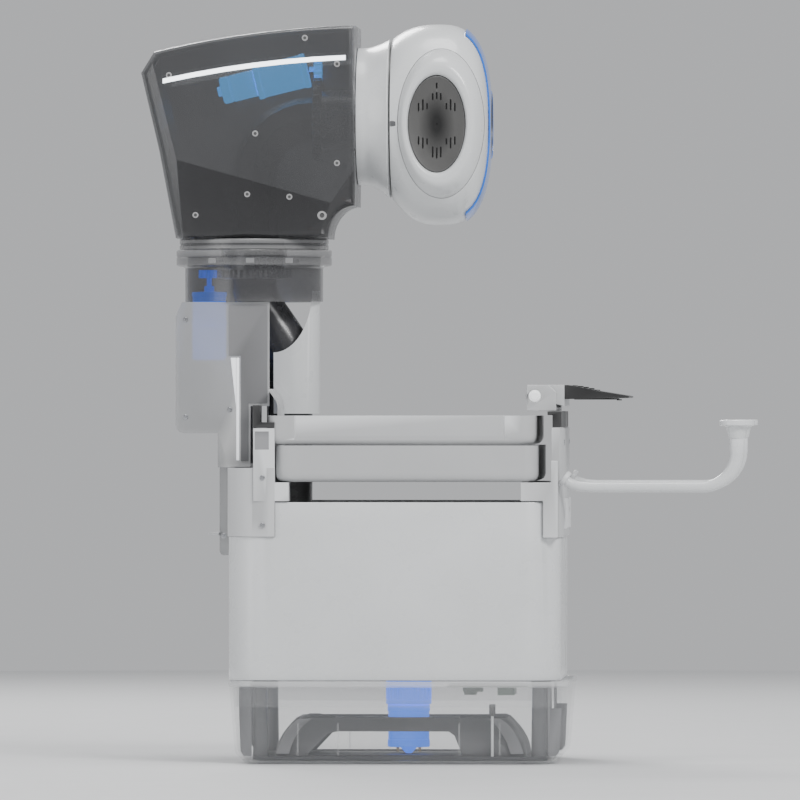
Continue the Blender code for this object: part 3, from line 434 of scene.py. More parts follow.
def turned(profile, place=(0, 0, 0), direction=UP, steps=48):
    """A (radius, height) profile turned about an axis; it is closed unless it ends on the axis."""
    bm = bmesh.new()
    rows = []
    for radius, height in profile:
        row = []
        for step in range(steps):
            angle = 2 * math.pi * step / steps
            row.append(bm.verts.new((radius * math.cos(angle), radius * math.sin(angle), height)))
        rows.append(row)
    pairs = list(zip(rows, rows[1:]))
    if profile[0][0] or profile[-1][0]:
        pairs.append((rows[-1], rows[0]))
    for upper, lower in pairs:
        for i in range(steps):
            following = (i + 1) % steps
            bm.faces.new((upper[i], lower[i], lower[following], upper[following]))
    bmesh.ops.remove_doubles(bm, verts=bm.verts, dist=0.002)
    bmesh.ops.recalc_face_normals(bm, faces=bm.faces)
    mesh = mesh_from(bm)
    turn = Vector(UP).rotation_difference(Vector(direction)).to_matrix().to_4x4()
    mesh.transform(Matrix.Translation(Vector(place)) @ turn)
    return mesh


def cylinder(place, direction, radius, length, steps):
    return turned([(0, length), (radius, length), (radius, 0), (0, 0)], place, direction, steps)


def loft(rings, whole=True, cap_start=False):
    """Skins rings of 3-D points."""
    bm = bmesh.new()
    rows = [[bm.verts.new(point) for point in points] for points in rings]
    count = len(rows[0])
    for lower, upper in zip(rows, rows[1:]):
        for i in range(count if whole else count - 1):
            following = (i + 1) % count
            bm.faces.new((lower[i], lower[following], upper[following], upper[i]))
    if cap_start:
        bm.faces.new(list(reversed(rows[0])))
    return cleaned(mesh_from(bm))


def thickened(mesh, wall, offset=-1):
    piece = bpy.data.objects.new("surface", mesh)
    solidify = piece.modifiers.new("Solidify", "SOLIDIFY")
    solidify.thickness = wall
    solidify.offset = offset
    solidify.use_even_offset = True
    return evaluated(piece)


def extruded(outlines, low_side, high_side, plane="xz"):
    """A flat outline, with any holes after it, extruded along the plane's normal."""
    curve = bpy.data.curves.new("outline", "CURVE")
    curve.dimensions = "2D"
    curve.fill_mode = "BOTH"
    curve.extrude = (high_side - low_side) / 2
    for outline in outlines:
        spline = curve.splines.new("POLY")
        spline.points.add(len(outline) - 1)
        for point, (x, y) in zip(spline.points, outline):
            point.co = (x, y, 0, 1)
        spline.use_cyclic_u = True
    mesh = evaluated(bpy.data.objects.new("outline", curve))
    mesh.transform(Matrix.Translation((0, 0, (low_side + high_side) / 2)))
    if plane == "xz":
        mesh.transform(Matrix(((1, 0, 0), (0, 0, 1), (0, 1, 0))).to_4x4())
    if plane == "yz":
        mesh.transform(Matrix(((0, 0, 1), (1, 0, 0), (0, 1, 0))).to_4x4())
    return cleaned(mesh)


def swept(points, radius, sides, radii=None, caps=True):
    """A round bar or wire along the points."""
    curve = bpy.data.curves.new("route", "CURVE")
    curve.dimensions = "3D"
    curve.bevel_depth = radius
    curve.bevel_resolution = sides
    curve.use_fill_caps = caps
    spline = curve.splines.new("POLY")
    spline.points.add(len(points) - 1)
    for index, (point, place) in enumerate(zip(spline.points, points)):
        point.co = (*place, 1)
        if radii:
            point.radius = radii[index]
    return cleaned(evaluated(bpy.data.objects.new("route", curve)))


# Outlines


def span(sign, one, other):
    """Two distances from the middle plane as low and high Y on one side."""
    return sorted((sign * one, sign * other))


def corners(x, y):
    return [(x_sign * x, y_sign * y) for x_sign in (-1, 1) for y_sign in (-1, 1)]


def beside(corner, *offsets):
    """Points given by their offsets from a corner."""
    return [(corner[0] + x, corner[1] + z) for x, z in offsets]


def arc(centre, radii, start, end, steps):
    points = []
    for i in range(steps + 1):
        angle = math.radians(start + (end - start) * i / steps)
        points.append((centre[0] + radii[0] * math.cos(angle), centre[1] + radii[1] * math.sin(angle)))
    return points


def ellipse(centre, radii, steps=72):
    return arc(centre, radii, 0, 360, steps)[:-1]


def rounded_rectangle(half, corner, centre=(0, 0), steps=10):
    x, y = half[0] - corner, half[1] - corner
    points = []
    for corner_x, corner_y, start in ((x, y, 0), (-x, y, 90), (-x, -y, 180), (x, -y, 270)):
        place = (centre[0] + corner_x, centre[1] + corner_y)
        points += arc(place, (corner, corner), start, start + 90, steps)
    return points


def box_ring(height, half, corner, centre_x=0, steps=12):
    return [(x, y, height) for x, y in rounded_rectangle(half, corner, (centre_x, 0), steps)]


# Studio, in metres: pale floor, soft lights and a side view from far away


def make_studio():
    scene = bpy.context.scene
    world = bpy.data.worlds.new("studio")
    world.use_nodes = True
    backdrop = world.node_tree.nodes["Background"]
    backdrop.inputs["Color"].default_value = (0.84, 0.85, 0.87, 1)
    backdrop.inputs["Strength"].default_value = 0.62
    scene.world = world

    outline = ellipse((0, 0), (4, 4), 96)
    mesh = bpy.data.meshes.new("floor")
    mesh.from_pydata([(x, y, -0.5 * MM) for x, y in outline], [], [range(len(outline))])
    floor = bpy.data.objects.new("floor", mesh)
    scene.collection.objects.link(floor)
    paper = plastic("floor_paper", (0.66, 0.665, 0.67), (0.7, 0.85), 0.985, grain=300, depth=0.02)
    mesh.materials.append(paper)

    centre = Vector((-4 * MM, 0, 360 * MM))
    for name, place, size, power in (
        ("key", (1.7, -2.5, 2.3), 1.3, 92),
        ("fill", (-2.6, -1.9, 1.0), 2.0, 24),
        ("rim", (-0.9, 2.6, 2.2), 1.2, 60),
        ("top", (0.1, -0.1, 2.8), 1.2, 26),
    ):
        lamp = bpy.data.lights.new(name, "AREA")
        lamp.shape = "DISK"
        lamp.size = size
        lamp.energy = power
        aimed(name, lamp, Vector(place), centre)

    camera = bpy.data.cameras.new("camera")
    distance = 12.0
    view_width = 0.8
    camera.lens = camera.sensor_width * distance / view_width
    camera.clip_end = 100
    turn = math.radians(2.4)
    place = centre + Vector((math.sin(turn), -math.cos(turn), 0)) * distance
    scene.camera = aimed("camera", camera, place, centre)


def aimed(name, data, place, target):
    """A lamp or camera that looks at a target."""
    holder = bpy.data.objects.new(name, data)
    holder.location = place
    holder.rotation_euler = (target - place).to_track_quat("-Z", "Y").to_euler()
    bpy.context.scene.collection.objects.link(holder)
    return holder


# Base pan, underframe and feed motor


def make_base_pan():
    """Clear pan with a drawn bottom edge, ribs inside its long sides and four feet."""
    half_x, half_y, top = high("base_pan")
    rings = []
    for height, in_x, in_y, corner in (
        (0, 19, 19.5, 29),
        (0.6, 16.5, 17, 31),
        (3.2, 13.4, 14, 33),
        (8.4, 8.2, 8.7, 37),
        (12.0, 6.3, 6.8, 38.2),
        (30, 4.7, 5.0, 39),
        (top - 6, 0.9, 0.9, 41.4),
        (top - 5.4, 0.1, 0.1, 42),
        (top - 0.4, 0.1, 0.1, 42),
    ):
        rings.append(box_ring(height, (half_x - in_x, half_y - in_y), corner))
    pan = stand_in("base_pan_shell", thickened(loft(rings, cap_start=True), WALL), "clear", "base_pan")
    pan.data.materials.append(LOOKS["clear_edge"])
    for face in pan.data.polygons:
        height = face.center.z / MM
        face.material_index = int(height < 4 or height > top - 6.2)
    soften(pan, 0.5, 1, 40)

    ribs = []
    for side_y in (-127.5, 127.5):
        for x in (-100, -60, 60, 100):
            ribs.append(box((x - 0.9, side_y - 5, 8), (x + 0.9, side_y + 5, 40)))
    soften(add_piece("pan_ribs", ribs, "clear", "base_pan"), 0.4, 1)
    foot = [(0, 0), (10, 0), (10.6, 0.4), (10.6, 0.9), (0, 0.9)]
    feet = [turned(foot, (x, y, 0.1), steps=32) for x, y in corners(122, 104)]
    add_piece("pan_feet", feet, "rubber", "base_pan")


def make_underframe():
    """Dark inner frame: plate, arched skirt with a window in each long side, posts and end plates."""
    lowest, highest = limits("underframe")
    floor = lowest[2]
    outline = rounded_rectangle((highest[0], highest[1]), 12)
    shaft_hole = ellipse((4.8, 0), (12, 12), 32)
    plate = extruded([outline, shaft_hole], floor, floor + WALL, "xy")
    body = stand_in("underframe_body", plate, "dark", "underframe")
    rings = []
    for step in range(9):
        rise = step / 8
        draw = 20.5 * rise**2
        rings.append(box_ring(5 + 39 * rise, (125 - draw, 100 - draw), 25))
    cut(body, thickened(loft(rings), WALL), "UNION")
    window = [(-92, 8), (62, 8), (54, 27), (48, 31), (-62, 31), (-72, 29)]
    cut(body, extruded([window], -130, 130))
    soften(body, 0.6, 1, 40)

    post = [(0, 85.3), (7.4, 85.3), (8, 84.7), (8, 78), (6.6, 77), (7.6, 7), (8, 6.5), (0, 6.5)]
    posts = [turned(post, (x, y, 0), steps=32) for x, y in corners(138, 103)]
    add_piece("underframe_posts", posts, "grey_dark", "underframe")

    plates = []
    rear = [(-147, 7), (-147, 76), (-159.5, 76), (-159.5, 50), (-158, 12), (-155, 7)]
    front = [(147, 7), (155, 7), (158.5, 12), (160.5, 54.5), (150, 54.5), (150, 76), (147, 76)]
    for y in (-104.5, 101.5):
        plates += [extruded([outline], y, y + 3) for outline in (rear, front)]
    soften(add_piece("underframe_end_plates", plates, "grey_dark", "underframe"), 0.5, 1)

    arches = []
    for sign in (-1, 1):
        outer = [(sign * x, z) for x, z in ((100, 44), (106, 40), (113, 32), (119, 21), (123, 9))]
        inner = [(x - sign * 13, z) for x, z in reversed(outer)]
        arches += [extruded([outer + inner], y - 1.2, y + 1.2) for y in (-101.4, 101.4)]
    soften(add_piece("underframe_arches", arches, "grey_dark", "underframe"), 0.5, 1)


def make_feed_motor():
    """Can with four pairs of windows over its windings, two terminals and a ribbed gearbox."""
    centre_x = middle("feed_motor_can")[0]
    radius = half_width("feed_motor_can")
    bottom, top = low("feed_motor_can")[2], high("feed_motor_can")[2]
    can = [
        (0, top),
        *beside((radius, top), (-0.8, 0), (0, -0.8), (0, -6), (-0.8, -6.8)),
        *beside((radius, bottom), (-0.8, 14), (-0.2, 13.4), (-0.2, 7.2), (-1, 6.4)),
        *beside((0, bottom), (9, 6.4), (8.2, 5.6), (3.4, 0.4), (2.6, 0), (0, 0)),
    ]
    motor = stand_in("feed_motor_body", turned(can, (centre_x, 0, 0), steps=64), "motor", "feed_motor_can")
    windows = []
    for turn in (0, 90, 180, 270):
        for offset in (-3.2, 3.2):
            window = box((offset - 2.3, -radius - 2, 33.5), (offset + 2.3, -radius + 1.4, 43.7))
            windows.append(spun(window, turn, centre_x))
    cut(motor, windows)
    core = beside((radius, 0), (-1.6, 45), (-1.3, 45), (-1.3, 32), (-1.6, 32))
    add_piece("feed_motor_windings", turned(core, (centre_x, 0, 0)), "brown", "feed_motor_can")
    terminals = []
    for x in (centre_x - 11, centre_x + 11):
        terminals.append(box((x - 1.4, -0.3, 8.4), (x + 1.4, 0.3, 13.6)))
    add_piece("feed_motor_terminals", terminals, "brass", "feed_motor_can")

    radius = half_width("feed_gearbox")
    bottom, top = low("feed_gearbox")[2], high("feed_gearbox")[2]
    bore = 3.6
    gearbox = [
        (bore, top),
        *beside((radius, top), (-1, 0), (0, -1), (0, -4), (-0.7, -4.5)),
        *beside((radius, bottom), (-0.7, 4.5), (0, 4), (0, 0.6), (-0.6, 0)),
        (bore, bottom),
    ]
    stand_in("feed_gearbox_body", turned(gearbox, (centre_x, 0, 0), steps=64), "motor", "feed_gearbox")
    ribs = []
    for step in range(24):
        rib = box((radius - 0.9, -0.8, bottom + 5), (radius - 0.1, 0.8, top - 5))
        ribs.append(spun(rib, 15 * step, centre_x))
    add_piece("feed_gearbox_ribs", ribs, "motor", "feed_gearbox")


def make_base_inside():
    rounded_node("motor_bracket", "grey_dark", 1.2, 3)
    rounded_node("control_board", "board", 0.3, 1)
    rounded_node("bucket_floor", "grey")
    pin_x, pin_y = 92, -106
    pin = [(0, 56), (2.7, 56), (3.2, 55.5), (3.2, 45.4), (1.5, 45), (1.1, 44), (1.1, 4), (0, 4)]
    add_piece("level_pin", turned(pin, (pin_x, pin_y, 2.6), steps=24), "black", "underframe")
    add_piece("level_pin_rod", cylinder((pin_x, pin_y, 6.7), UP, 1.4, 40, 20), "white", "underframe")
    rounded_node("feed_wheel", "grey", 1.0)


# Bucket and brackets


def make_bucket():
    """White wall over the pan, cut away for both brackets, and a thin clear lip down inside the pan."""
    centre_x = middle("bucket_shell")[0]
    half_x, half_y, top = half_width("bucket_shell"), high("bucket_shell")[1], high("bucket_shell")[2]
    shelf = high("base_pan")[2] + 0.2
    corner = 40

    def ring(height, draw):
        return box_ring(height, (half_x - draw, half_y - draw), corner - draw, centre_x)

    outside = [(shelf, 5), (shelf, 1.2), (shelf + 0.5, 0.35), (shelf + 1.4, 0), (shelf + 12, 0)]
    rolled_top = [(top - 1.2, 0), (top - 0.3, 0.35), (top, 1.2)]
    inside = [(top, WALL), (shelf + 2.5, WALL)]
    section = [(shelf + 2.5, 5), *outside, *rolled_top, *inside, (shelf + 2.5, 5)]
    bucket = stand_in("bucket_wall", loft([ring(*place) for place in section]), "white", "bucket_shell")
    rear = box((-200, -200, 224.4), (-121.4, 200, 300))
    front = box((142.8, -200, 223.4), (200, 200, 300))
    cut(bucket, [rear, front])
    lip = loft([ring(56, 5.5), ring(shelf + 2.3, 5.5)])
    add_piece("bucket_lip", thickened(lip, 2.4), "lip", "bucket_shell")


def make_brackets():
    rounded_node("rear_bracket", "satin", 1.0)
    rounded_node("front_bracket", "satin", 1.0)
    for node in ("rear_seal_near", "rear_seal_far", "front_seal"):
        rounded_node(node, "black", 0.5)
    # Painted shade: thin dark sheets on the rear bracket's sides stand for the shade in its recesses.
    recess_shade_sheets = []
    for side, sign in SIDES.items():
        places = [(-134, sign * 147.9, z) for z in (236, 283)]
        screws(f"rear_bracket_screws_{side}", places, (0, sign, 0), 2.6, "rear_bracket", 0.8)
        low_y, high_y = span(sign, 147.2, 147.8)
        recess_shade_sheets.append(box((-141.5, low_y, 311), (-127.5, high_y, 329)))
    soften(add_piece("rear_bracket_recess_shade", recess_shade_sheets, "inlay", "rear_bracket"), 0.4)
    face_x = high("front_bracket")[0]
    ribs = [box((face_x - 0.5, y - 1.2, 232), (face_x + 1.6, y + 1.2, 262)) for y in (-96, -48, 0, 48, 96)]
    soften(add_piece("front_bracket_ribs", ribs, "satin", "front_bracket"), 0.5)
    places = [(face_x - 0.1, y, z) for y in (-90, 90) for z in (250, 318)]
    screws("front_bracket_screws", places, FORWARD, 3.2, "front_bracket", 0.9)


# Tray, ramp and arms


def tray_rings(node, top, steps):
    """Rings of a tray part, whose wall is drawn in under its lower edge."""
    centre_x, half_x, half_y = middle(node)[0], half_width(node), high(node)[1]
    bottom = low(node)[2]
    rings = []
    for rise, draw in (*steps, (top - bottom, 0)):
        rings.append(box_ring(bottom + rise, (half_x - draw, half_y - draw), 14, centre_x, 14))
    return rings


def make_tray():
    bottom, top = low("tray_bowl")[2], high("tray_bowl")[2]
    steps = ((0, 9), (0.15, 7), (0.9, 4.6), (2.1, 2.4), (4, 0.9), (7, 0.1), (10, 0), (30, 0))
    skin = loft(tray_rings("tray_bowl", top, steps), cap_start=True)
    bowl = stand_in("tray_bowl_body", thickened(skin, WALL), "satin", "tray_bowl")
    cut(bowl, cylinder((20, 0, bottom - 9), UP, 50, 20, 72))
    cut(bowl, cylinder((TUBE_X, 0, 260), UP, 24, 80, 48))
    soften(bowl, 0.8, 3, 40)

    bottom, top, half_y = low("tray_rim")[2], 344.5, high("tray_rim")[1]
    steps = ((0, 8), (0.2, 6), (1, 4.2), (2.4, 2.4), (4.6, 0.9), (7.4, 0.15), (10, 0))
    skin = loft(tray_rings("tray_rim", top, steps))
    rim = stand_in("tray_rim_body", thickened(skin, WALL), "satin", "tray_rim")
    cut(rim, extruded([leaning_wall()], -110, 110), "UNION")
    cut(rim, box((-150, -32, 310), (-80, 32, 380)))
    grooves = []
    for x in (-102, 105):
        for sign in (-1, 1):
            low_y, high_y = span(sign, half_y - 0.7, half_y + 1)
            grooves.append(box((x - 0.5, low_y, bottom - 1), (x + 0.5, high_y, top + 1)))
    cut(rim, grooves)
    soften(rim, 0.9, 3, 40)


def leaning_wall():
    """The rear wall of the tray, from the side: it rises and leans back at the top."""
    inner = [(-118.2, 340), (-118.2, 352), (-118.7, 356), (-120.4, 361.4), (-123.4, 366)]
    edge = [(-127.4, 370.9), (-128.6, 371), (-130, 369.6)]
    outer = [(-126, 364), (-122.8, 359.4), (-121.4, 355.6), (-121, 352), (-121, 340)]
    return inner + edge + outer


def make_ramp():
    """Ramp that tapers toward the table, with grip ribs on top and pads below."""
    rounded_node("hinge_block", "satin", 1.0, 3)
    rounded_node("ramp_carrier", "satin")
    rounded_node("ramp_pin", "glow_white", 1.2, 3)
    pin = middle("ramp_pin")
    cap = [(0, 0.9), (3.8, 0.9), (4.6, 0), (0, 0)]
    for side, sign in SIDES.items():
        end = turned(cap, (pin[0], sign * 101.9, pin[2]), (0, sign, 0), 40)
        add_piece(f"pin_cap_{side}", end, "glow_white", "ramp_pin")
    (start, _, bottom), (end, half_y, top) = limits("ramp_plate")
    wedge = [
        (start, bottom + 0.4),
        *beside((end, bottom), (-1.2, 1.5), (0, 2.2), (0, 3.0), (-0.8, 3.5)),
        *beside((start, top), (34, -6.2), (12, -1.6), (3, -0.2), (0, 0)),
    ]
    soften(stand_in("ramp_plate_body", extruded([wedge], -half_y, half_y), "black", "ramp_plate"), 0.5, 2, 25)
    ribs = []
    for step in range(9):
        x = start + 8 + 5.5 * step
        z = top - 0.35 - 0.165 * step**2 - 0.42 * step
        ribs.append(box((x - 0.6, 8 - half_y, z - 1.2), (x + 0.6, half_y - 8, z + 0.05)))
    soften(add_piece("ramp_ribs", ribs, "rubber", "ramp_plate"), 0.3, 1)
    route = [*beside((start, top), (0.5, -0.5), (12, -2.0), (34, -6.5)), (end - 0.8, bottom + 3.1)]
    edges = [swept([(x, sign * (half_y - 0.35), z) for x, z in route], 0.3, 2) for sign in (-1, 1)]
    add_piece("ramp_edge_lines", edges, "grey", "ramp_plate")
    pads = [box((172, y - 12, 360.4), (214, y + 12, 361.6)) for y in (-55, 0, 55)]
    soften(add_piece("ramp_pads", pads, "rubber", "ramp_plate"), 0.3, 1)


def make_arms():
    """Bent arms that widen toward their feet, each with a socket at the bracket and a ringed foot."""
    axis_z, bend = 274, 34.8
    plug = [(0, 5), (7.2, 5), (8.2, 4), (8.2, 0.8), (7.4, 0), (0, 0)]
    for side in SIDES:
        arm, foot = f"support_arm_{side}", f"support_foot_{side}"
        y = middle(arm)[1]
        end_x, bottom, top, radius = middle(foot)[0], low(foot)[2], high(foot)[2], half_width(foot)
        root = [(163.2, 283.5), (166, 280.2), (170.5, 277.2), (178, 275), (190, axis_z)]
        rest = [(240, axis_z), *arc((end_x - bend, axis_z + bend), (bend, bend), 270, 360, 18)]
        rest.append((end_x, bottom - 0.6))
        points = [(x, y, z) for x, z in root + rest]
        radii = [1.0] * len(root) + [1 + 0.4 * step / (len(rest) - 1) for step in range(len(rest))]
        stand_in(f"arm_{side}", swept(points, 5.25, 8, radii), "white", arm)
        socket = turned(plug, (162.8, y, 283.6), (1, 0, -0.75), 40)
        add_piece(f"arm_socket_{side}", socket, "satin", arm)
        cup = [
            (0, top - 0.4),
            *beside((radius, top), (-3.5, -0.4), (-3, 0), (-0.8, 0), (0, -0.8), (0, -4.8), (-0.8, -5.6)),
            *beside((0, top), (12.6, -6), (11.2, -7), (9.6, -12)),
            *beside((0, bottom), (8.2, 0.6), (7.8, 0), (0, 0)),
        ]
        stand_in(f"foot_{side}", turned(cup, (end_x, y, 0), steps=64), "white", foot)
        rings = []
        for inner in (4.5, 8, 11.5):
            ring = beside((inner, 0), (0, 0.35), (1.2, 0.35), (1.2, -0.3), (0, -0.3))
            rings.append(turned(ring, (end_x, y, top - 0.4)))
        add_piece(f"foot_pad_{side}", rings, "foot", foot)


# Column and neck


def make_column():
    rounded_node("column_cover", "frost", 1.8, 4)
    rounded_node("column_spine", "dark")
    inlay = [(-160, 299), (-152.2, 299), (-152.2, 356.5), (-133.4, 356.5)]
    inlay += [(-133.4, 455), (-172, 455), (-172, 404), (-160, 404)]
    guide_top = [(-170, 402), (-164.8, 354), (-164.8, 402)]
    plates, guides = [], []
    for sign in (-1, 1):
        low_y, high_y = span(sign, COVER_SIDE, COVER_SIDE + 0.9)
        plates.append(extruded([inlay], low_y, high_y))
        guides.append(box((-164.4, low_y, 300), (-161.6, high_y, 402)))
        guides.append(extruded([guide_top], low_y, high_y))
    soften(add_piece("column_inlay", plates, "inlay", "column_cover"), 0.3)
    soften(add_piece("column_light_guides", guides, "light_soft", "column_cover"), 0.2, 1)
    lip = [(-183.2, 224.6), (-194, 225.8), (-194, 226.8), (-183.2, 228.2)]
    soften(add_piece("column_lip", extruded([lip], -40, 40), "satin", "column_cover"), 0.4)
    for side, sign in SIDES.items():
        spots = ((-171, 350.6), (-215, 440), (-215, 343), (-177, 225))
        places = [(x, sign * (COVER_SIDE + 0.5), z) for x, z in spots]
        screws(f"column_screws_{side}", places, (0, sign, 0), 2.6, "column_cover", 0.9)
    make_delivery_tube()
    make_front_shield()
    rounded_node("pan_ring_gear", "steel", 0.25, 1)
    make_neck()
    make_pan_motor()


def make_delivery_tube():
    """Tube that rises straight and sways back to the pan axis, with bands round its straight part."""
    bend_start, bend_rise = 398, 78
    route = [(TUBE_X, 0, 116.1), (TUBE_X, 0, bend_start)]
    for step in range(1, 25):
        rise = step / 24
        sway = (1 - math.cos(math.pi * rise)) / 2
        route.append((TUBE_X + (PAN_X - TUBE_X) * sway, 0, bend_start + bend_rise * rise))
    route.append((PAN_X, 0, 489.4))
    tube = thickened(swept(route, 22.4, 9, caps=False), 1.5)
    stand_in("delivery_tube_body", tube, "tube_dark", "delivery_tube")
    band = [(22.1, 7), (23.4, 6.4), (23.4, 0.6), (22.1, 0)]
    bands = [turned(band, (TUBE_X, 0, height), steps=56) for height in (150, 244, 300, 372)]
    add_piece("tube_bands", bands, "black", "delivery_tube")


def make_front_shield():
    """Half-round shield in front of the tube, with an elliptical opening cut from its rear edge."""
    rear, radius = -129, 30
    inside = radius - WALL
    outer = arc((TUBE_X, 0), (radius, radius), -90, 90, 36)
    inner = arc((TUBE_X, 0), (inside, inside), 90, -90, 36)
    outline = [(rear, -radius), *outer, (rear, radius), (rear, inside), *inner, (rear, -inside)]
    bottom, top = low("front_shield")[2], high("front_shield")[2]
    shield = stand_in("front_shield_body", extruded([outline], bottom, top, "xy"), "white", "front_shield")
    cut(shield, extruded([ellipse((rear, 469.5), (38, 62), 96)], -50, 50))
    soften(shield, 0.7, 2, 40)


def make_neck():
    """Drum with a grooved collar, the turning collar above it, and clips round the drum."""
    axis = middle("neck_drum")[0]
    outer, bore, step = 69, 33, 494
    wide, bottom, top = half_width("neck_drum"), low("neck_drum")[2], high("neck_drum")[2]
    drum = [
        (bore, top),
        *beside((wide, top), (-0.8, 0), (0, -0.8), (0, -6), (-0.7, -6.6), (-0.7, -7.4), (0, -8)),
        *beside((wide, step), (0, 1), (-1, 0)),
        *beside((outer, step), (1.5, -1), (0, -2.4)),
        *beside((outer, bottom), (0, 0.6), (-0.6, 0), (-2.5, 0)),
        (outer - 2.5, top - 6.8),
        (bore, top - 6.8),
    ]
    stand_in("neck_drum_body", turned(drum, (axis, 0, 0), steps=96), "smoke_neck", "neck_drum")
    bore = 30.4
    lowest, highest = limits("turntable_collar")
    wide = highest[0] - axis
    collar = [
        (bore, highest[2]),
        *beside((wide, highest[2]), (-1.2, 0), (0, -1.2), (0, -4.4), (-0.8, -5), (-0.8, -6), (0, -6.6)),
        *beside((wide, lowest[2]), (0, 0.7), (-0.7, 0)),
        (bore, lowest[2]),
    ]
    shape = turned(collar, (axis, 0, 0), steps=96)
    stand_in("turntable_collar_body", shape, "smoke_collar", "turntable_collar")
    clips = []
    for turn in (-120, -90, -60, 60, 90, 120):
        clips.append(spun(box((76.3, -4.2, 496.4), (77.5, 4.2, 501.4)), turn, axis))
    soften(add_piece("collar_clips", clips, "grey", "neck_drum"), 0.5)


def motor_can(radius, length):
    """A small motor seen from its tail: end bell, groove and shoulder."""
    return [
        (0, length),
        *beside((radius, length), (-0.6, 0), (0, -0.6)),
        (radius, length * 0.32),
        (radius - 0.6, length * 0.30),
        (radius - 0.6, length * 0.26),
        (radius, length * 0.24),
        *beside((radius, 0), (0, 1.4), (-1.4, 0)),
        (0, 0),
    ]


def make_pan_motor():
    (_, _, bottom), (_, _, top) = limits("pan_motor_can")
    x = middle("pan_motor_can")[0]
    can = turned(motor_can(half_width("pan_motor_can"), top - bottom), (x, 0, bottom), steps=56)
    stand_in("pan_motor_body", can, "motor", "pan_motor_can")
    radius, bottom, top = half_width("pan_gearbox"), low("pan_gearbox")[2], high("pan_gearbox")[2]
    shoulder, bore = 468, 2.9
    gearbox = [
        (bore, top),
        *beside((5, top), (-0.4, 0), (0, -0.4)),
        *beside((5, shoulder), (0, 0.8), (2, 0)),
        *beside((radius, shoulder), (-0.8, 0), (0, -0.8), (0, -4), (-0.8, -4.6)),
        *beside((radius, bottom), (-0.8, 4.6), (0, 4), (0, 0.5), (-0.5, 0)),
        (bore, bottom),
    ]
    stand_in("pan_gearbox_body", turned(gearbox, (x, 0, 0), steps=56), "motor", "pan_gearbox")
    bolt = 12.5 * math.sqrt(0.5)
    places = [(x + off_x, off_y, shoulder - 0.1) for off_x, off_y in corners(bolt, bolt)]
    screws("pan_gearbox_screws", places, UP, 1.8, "pan_gearbox")
    rounded_node("pan_pinion", "motor", 0.3, 1)


# Housing and everything in it


# The side's lower, rear and front facets: a point on the crease, the way out, and the slope inward.
FACETS = (
    (Vector((-223.5, 599)), Vector((-0.270, -0.963)), 0.075),
    (Vector((-223.5, 599)), Vector((-0.971, -0.240)), 0.45),
    (Vector((-70, 556)), Vector((0.817, -0.577)), 0.30),
)
REAR_FACET = 1

# Screw bosses on the housing's side: X, Z and radius.
BOSSES = (
    (-231, 683, 3),
    (-95.6, 720, 3),
    (-145, 625, 3),
    (-153, 564.6, 3),
    (-111, 562, 3),
    (-204.7, 544, 3),
    (-78.5, 543.6, 4.6),
    (-63.6, 595.5, 3),
    (-63.6, 694, 3),
)


def facet_drops(x, z):
    """How far each facet steps in at a place; a facet that doesn't reach it has a negative drop."""
    return [slope * (Vector((x, z)) - place).dot(normal) for place, normal, slope in FACETS]


def facet_depth(x, z):
    return max(0.0, *facet_drops(x, z))


def through_points(start, mid, end, steps):
    """Points along the parabola through three points."""
    points = []
    for i in range(steps + 1):
        x = start[0] + (end[0] - start[0]) * i / steps
        z = 0
        for here, one, two in ((start, mid, end), (mid, start, end), (end, start, mid)):
            z += here[1] * (x - one[0]) * (x - two[0]) / ((here[0] - one[0]) * (here[0] - two[0]))
        points.append((x, z))
    return points


def inset(points, distance):
    moved = []
    count = len(points)
    for i in range(count):
        before, here, after = (Vector(points[(i + k) % count]) for k in (-1, 0, 1))
        first = (here - before).normalized()
        second = (after - here).normalized()
        inward = Vector((-first.y, first.x))
        normals = (inward + Vector((-second.y, second.x))).normalized()
        moved.append(tuple(here + normals * distance / max(normals.dot(inward), 0.5)))
    return moved


def housing_outline():
    front, bottom, top = -46, low("housing_near")[2], high("housing_near")[2]
    roof = through_points((front, top), (-154, 724), (-246, 706.6), 20)
    rear = [(-259.5, 685.7), (-241.5, 609), (-225, bottom)]
    cove = arc((front, bottom), (26.6, 32), 180, 90, 14)
    return [*roof, *rear, *cove]


def rounded_side(mesh, level, radius, segments=6):
    """Rounds the edges of the flat face at one Y."""
    bm = bmesh.new()
    bm.from_mesh(mesh)
    bmesh.ops.dissolve_limit(bm, angle_limit=math.radians(0.3), verts=bm.verts, edges=bm.edges)
    edges = []
    for edge in bm.edges:
        flat = all(abs(vert.co.y - level) < 0.01 for vert in edge.verts)
        if flat and edge.calc_face_angle(0) > math.radians(45):
            edges.append(edge)
    bmesh.ops.bevel(bm, geom=edges, offset=radius, segments=segments, profile=0.5, affect="EDGES")
    bm.to_mesh(mesh)
    bm.free()
    return mesh


def crease_lines():
    """Where each facet leaves the side, and where the rear and front ones meet the lower one."""
    lines = [(place, normal) for place, normal, slope in FACETS]
    lower_place, lower_normal, lower_slope = FACETS[0]
    for place, facet_normal, slope in FACETS[1:]:
        normal = lower_normal * lower_slope - facet_normal * slope
        offset = lower_slope * lower_normal.dot(lower_place) - slope * facet_normal.dot(place)
        lines.append((normal * offset / normal.length_squared, normal.normalized()))
    return lines


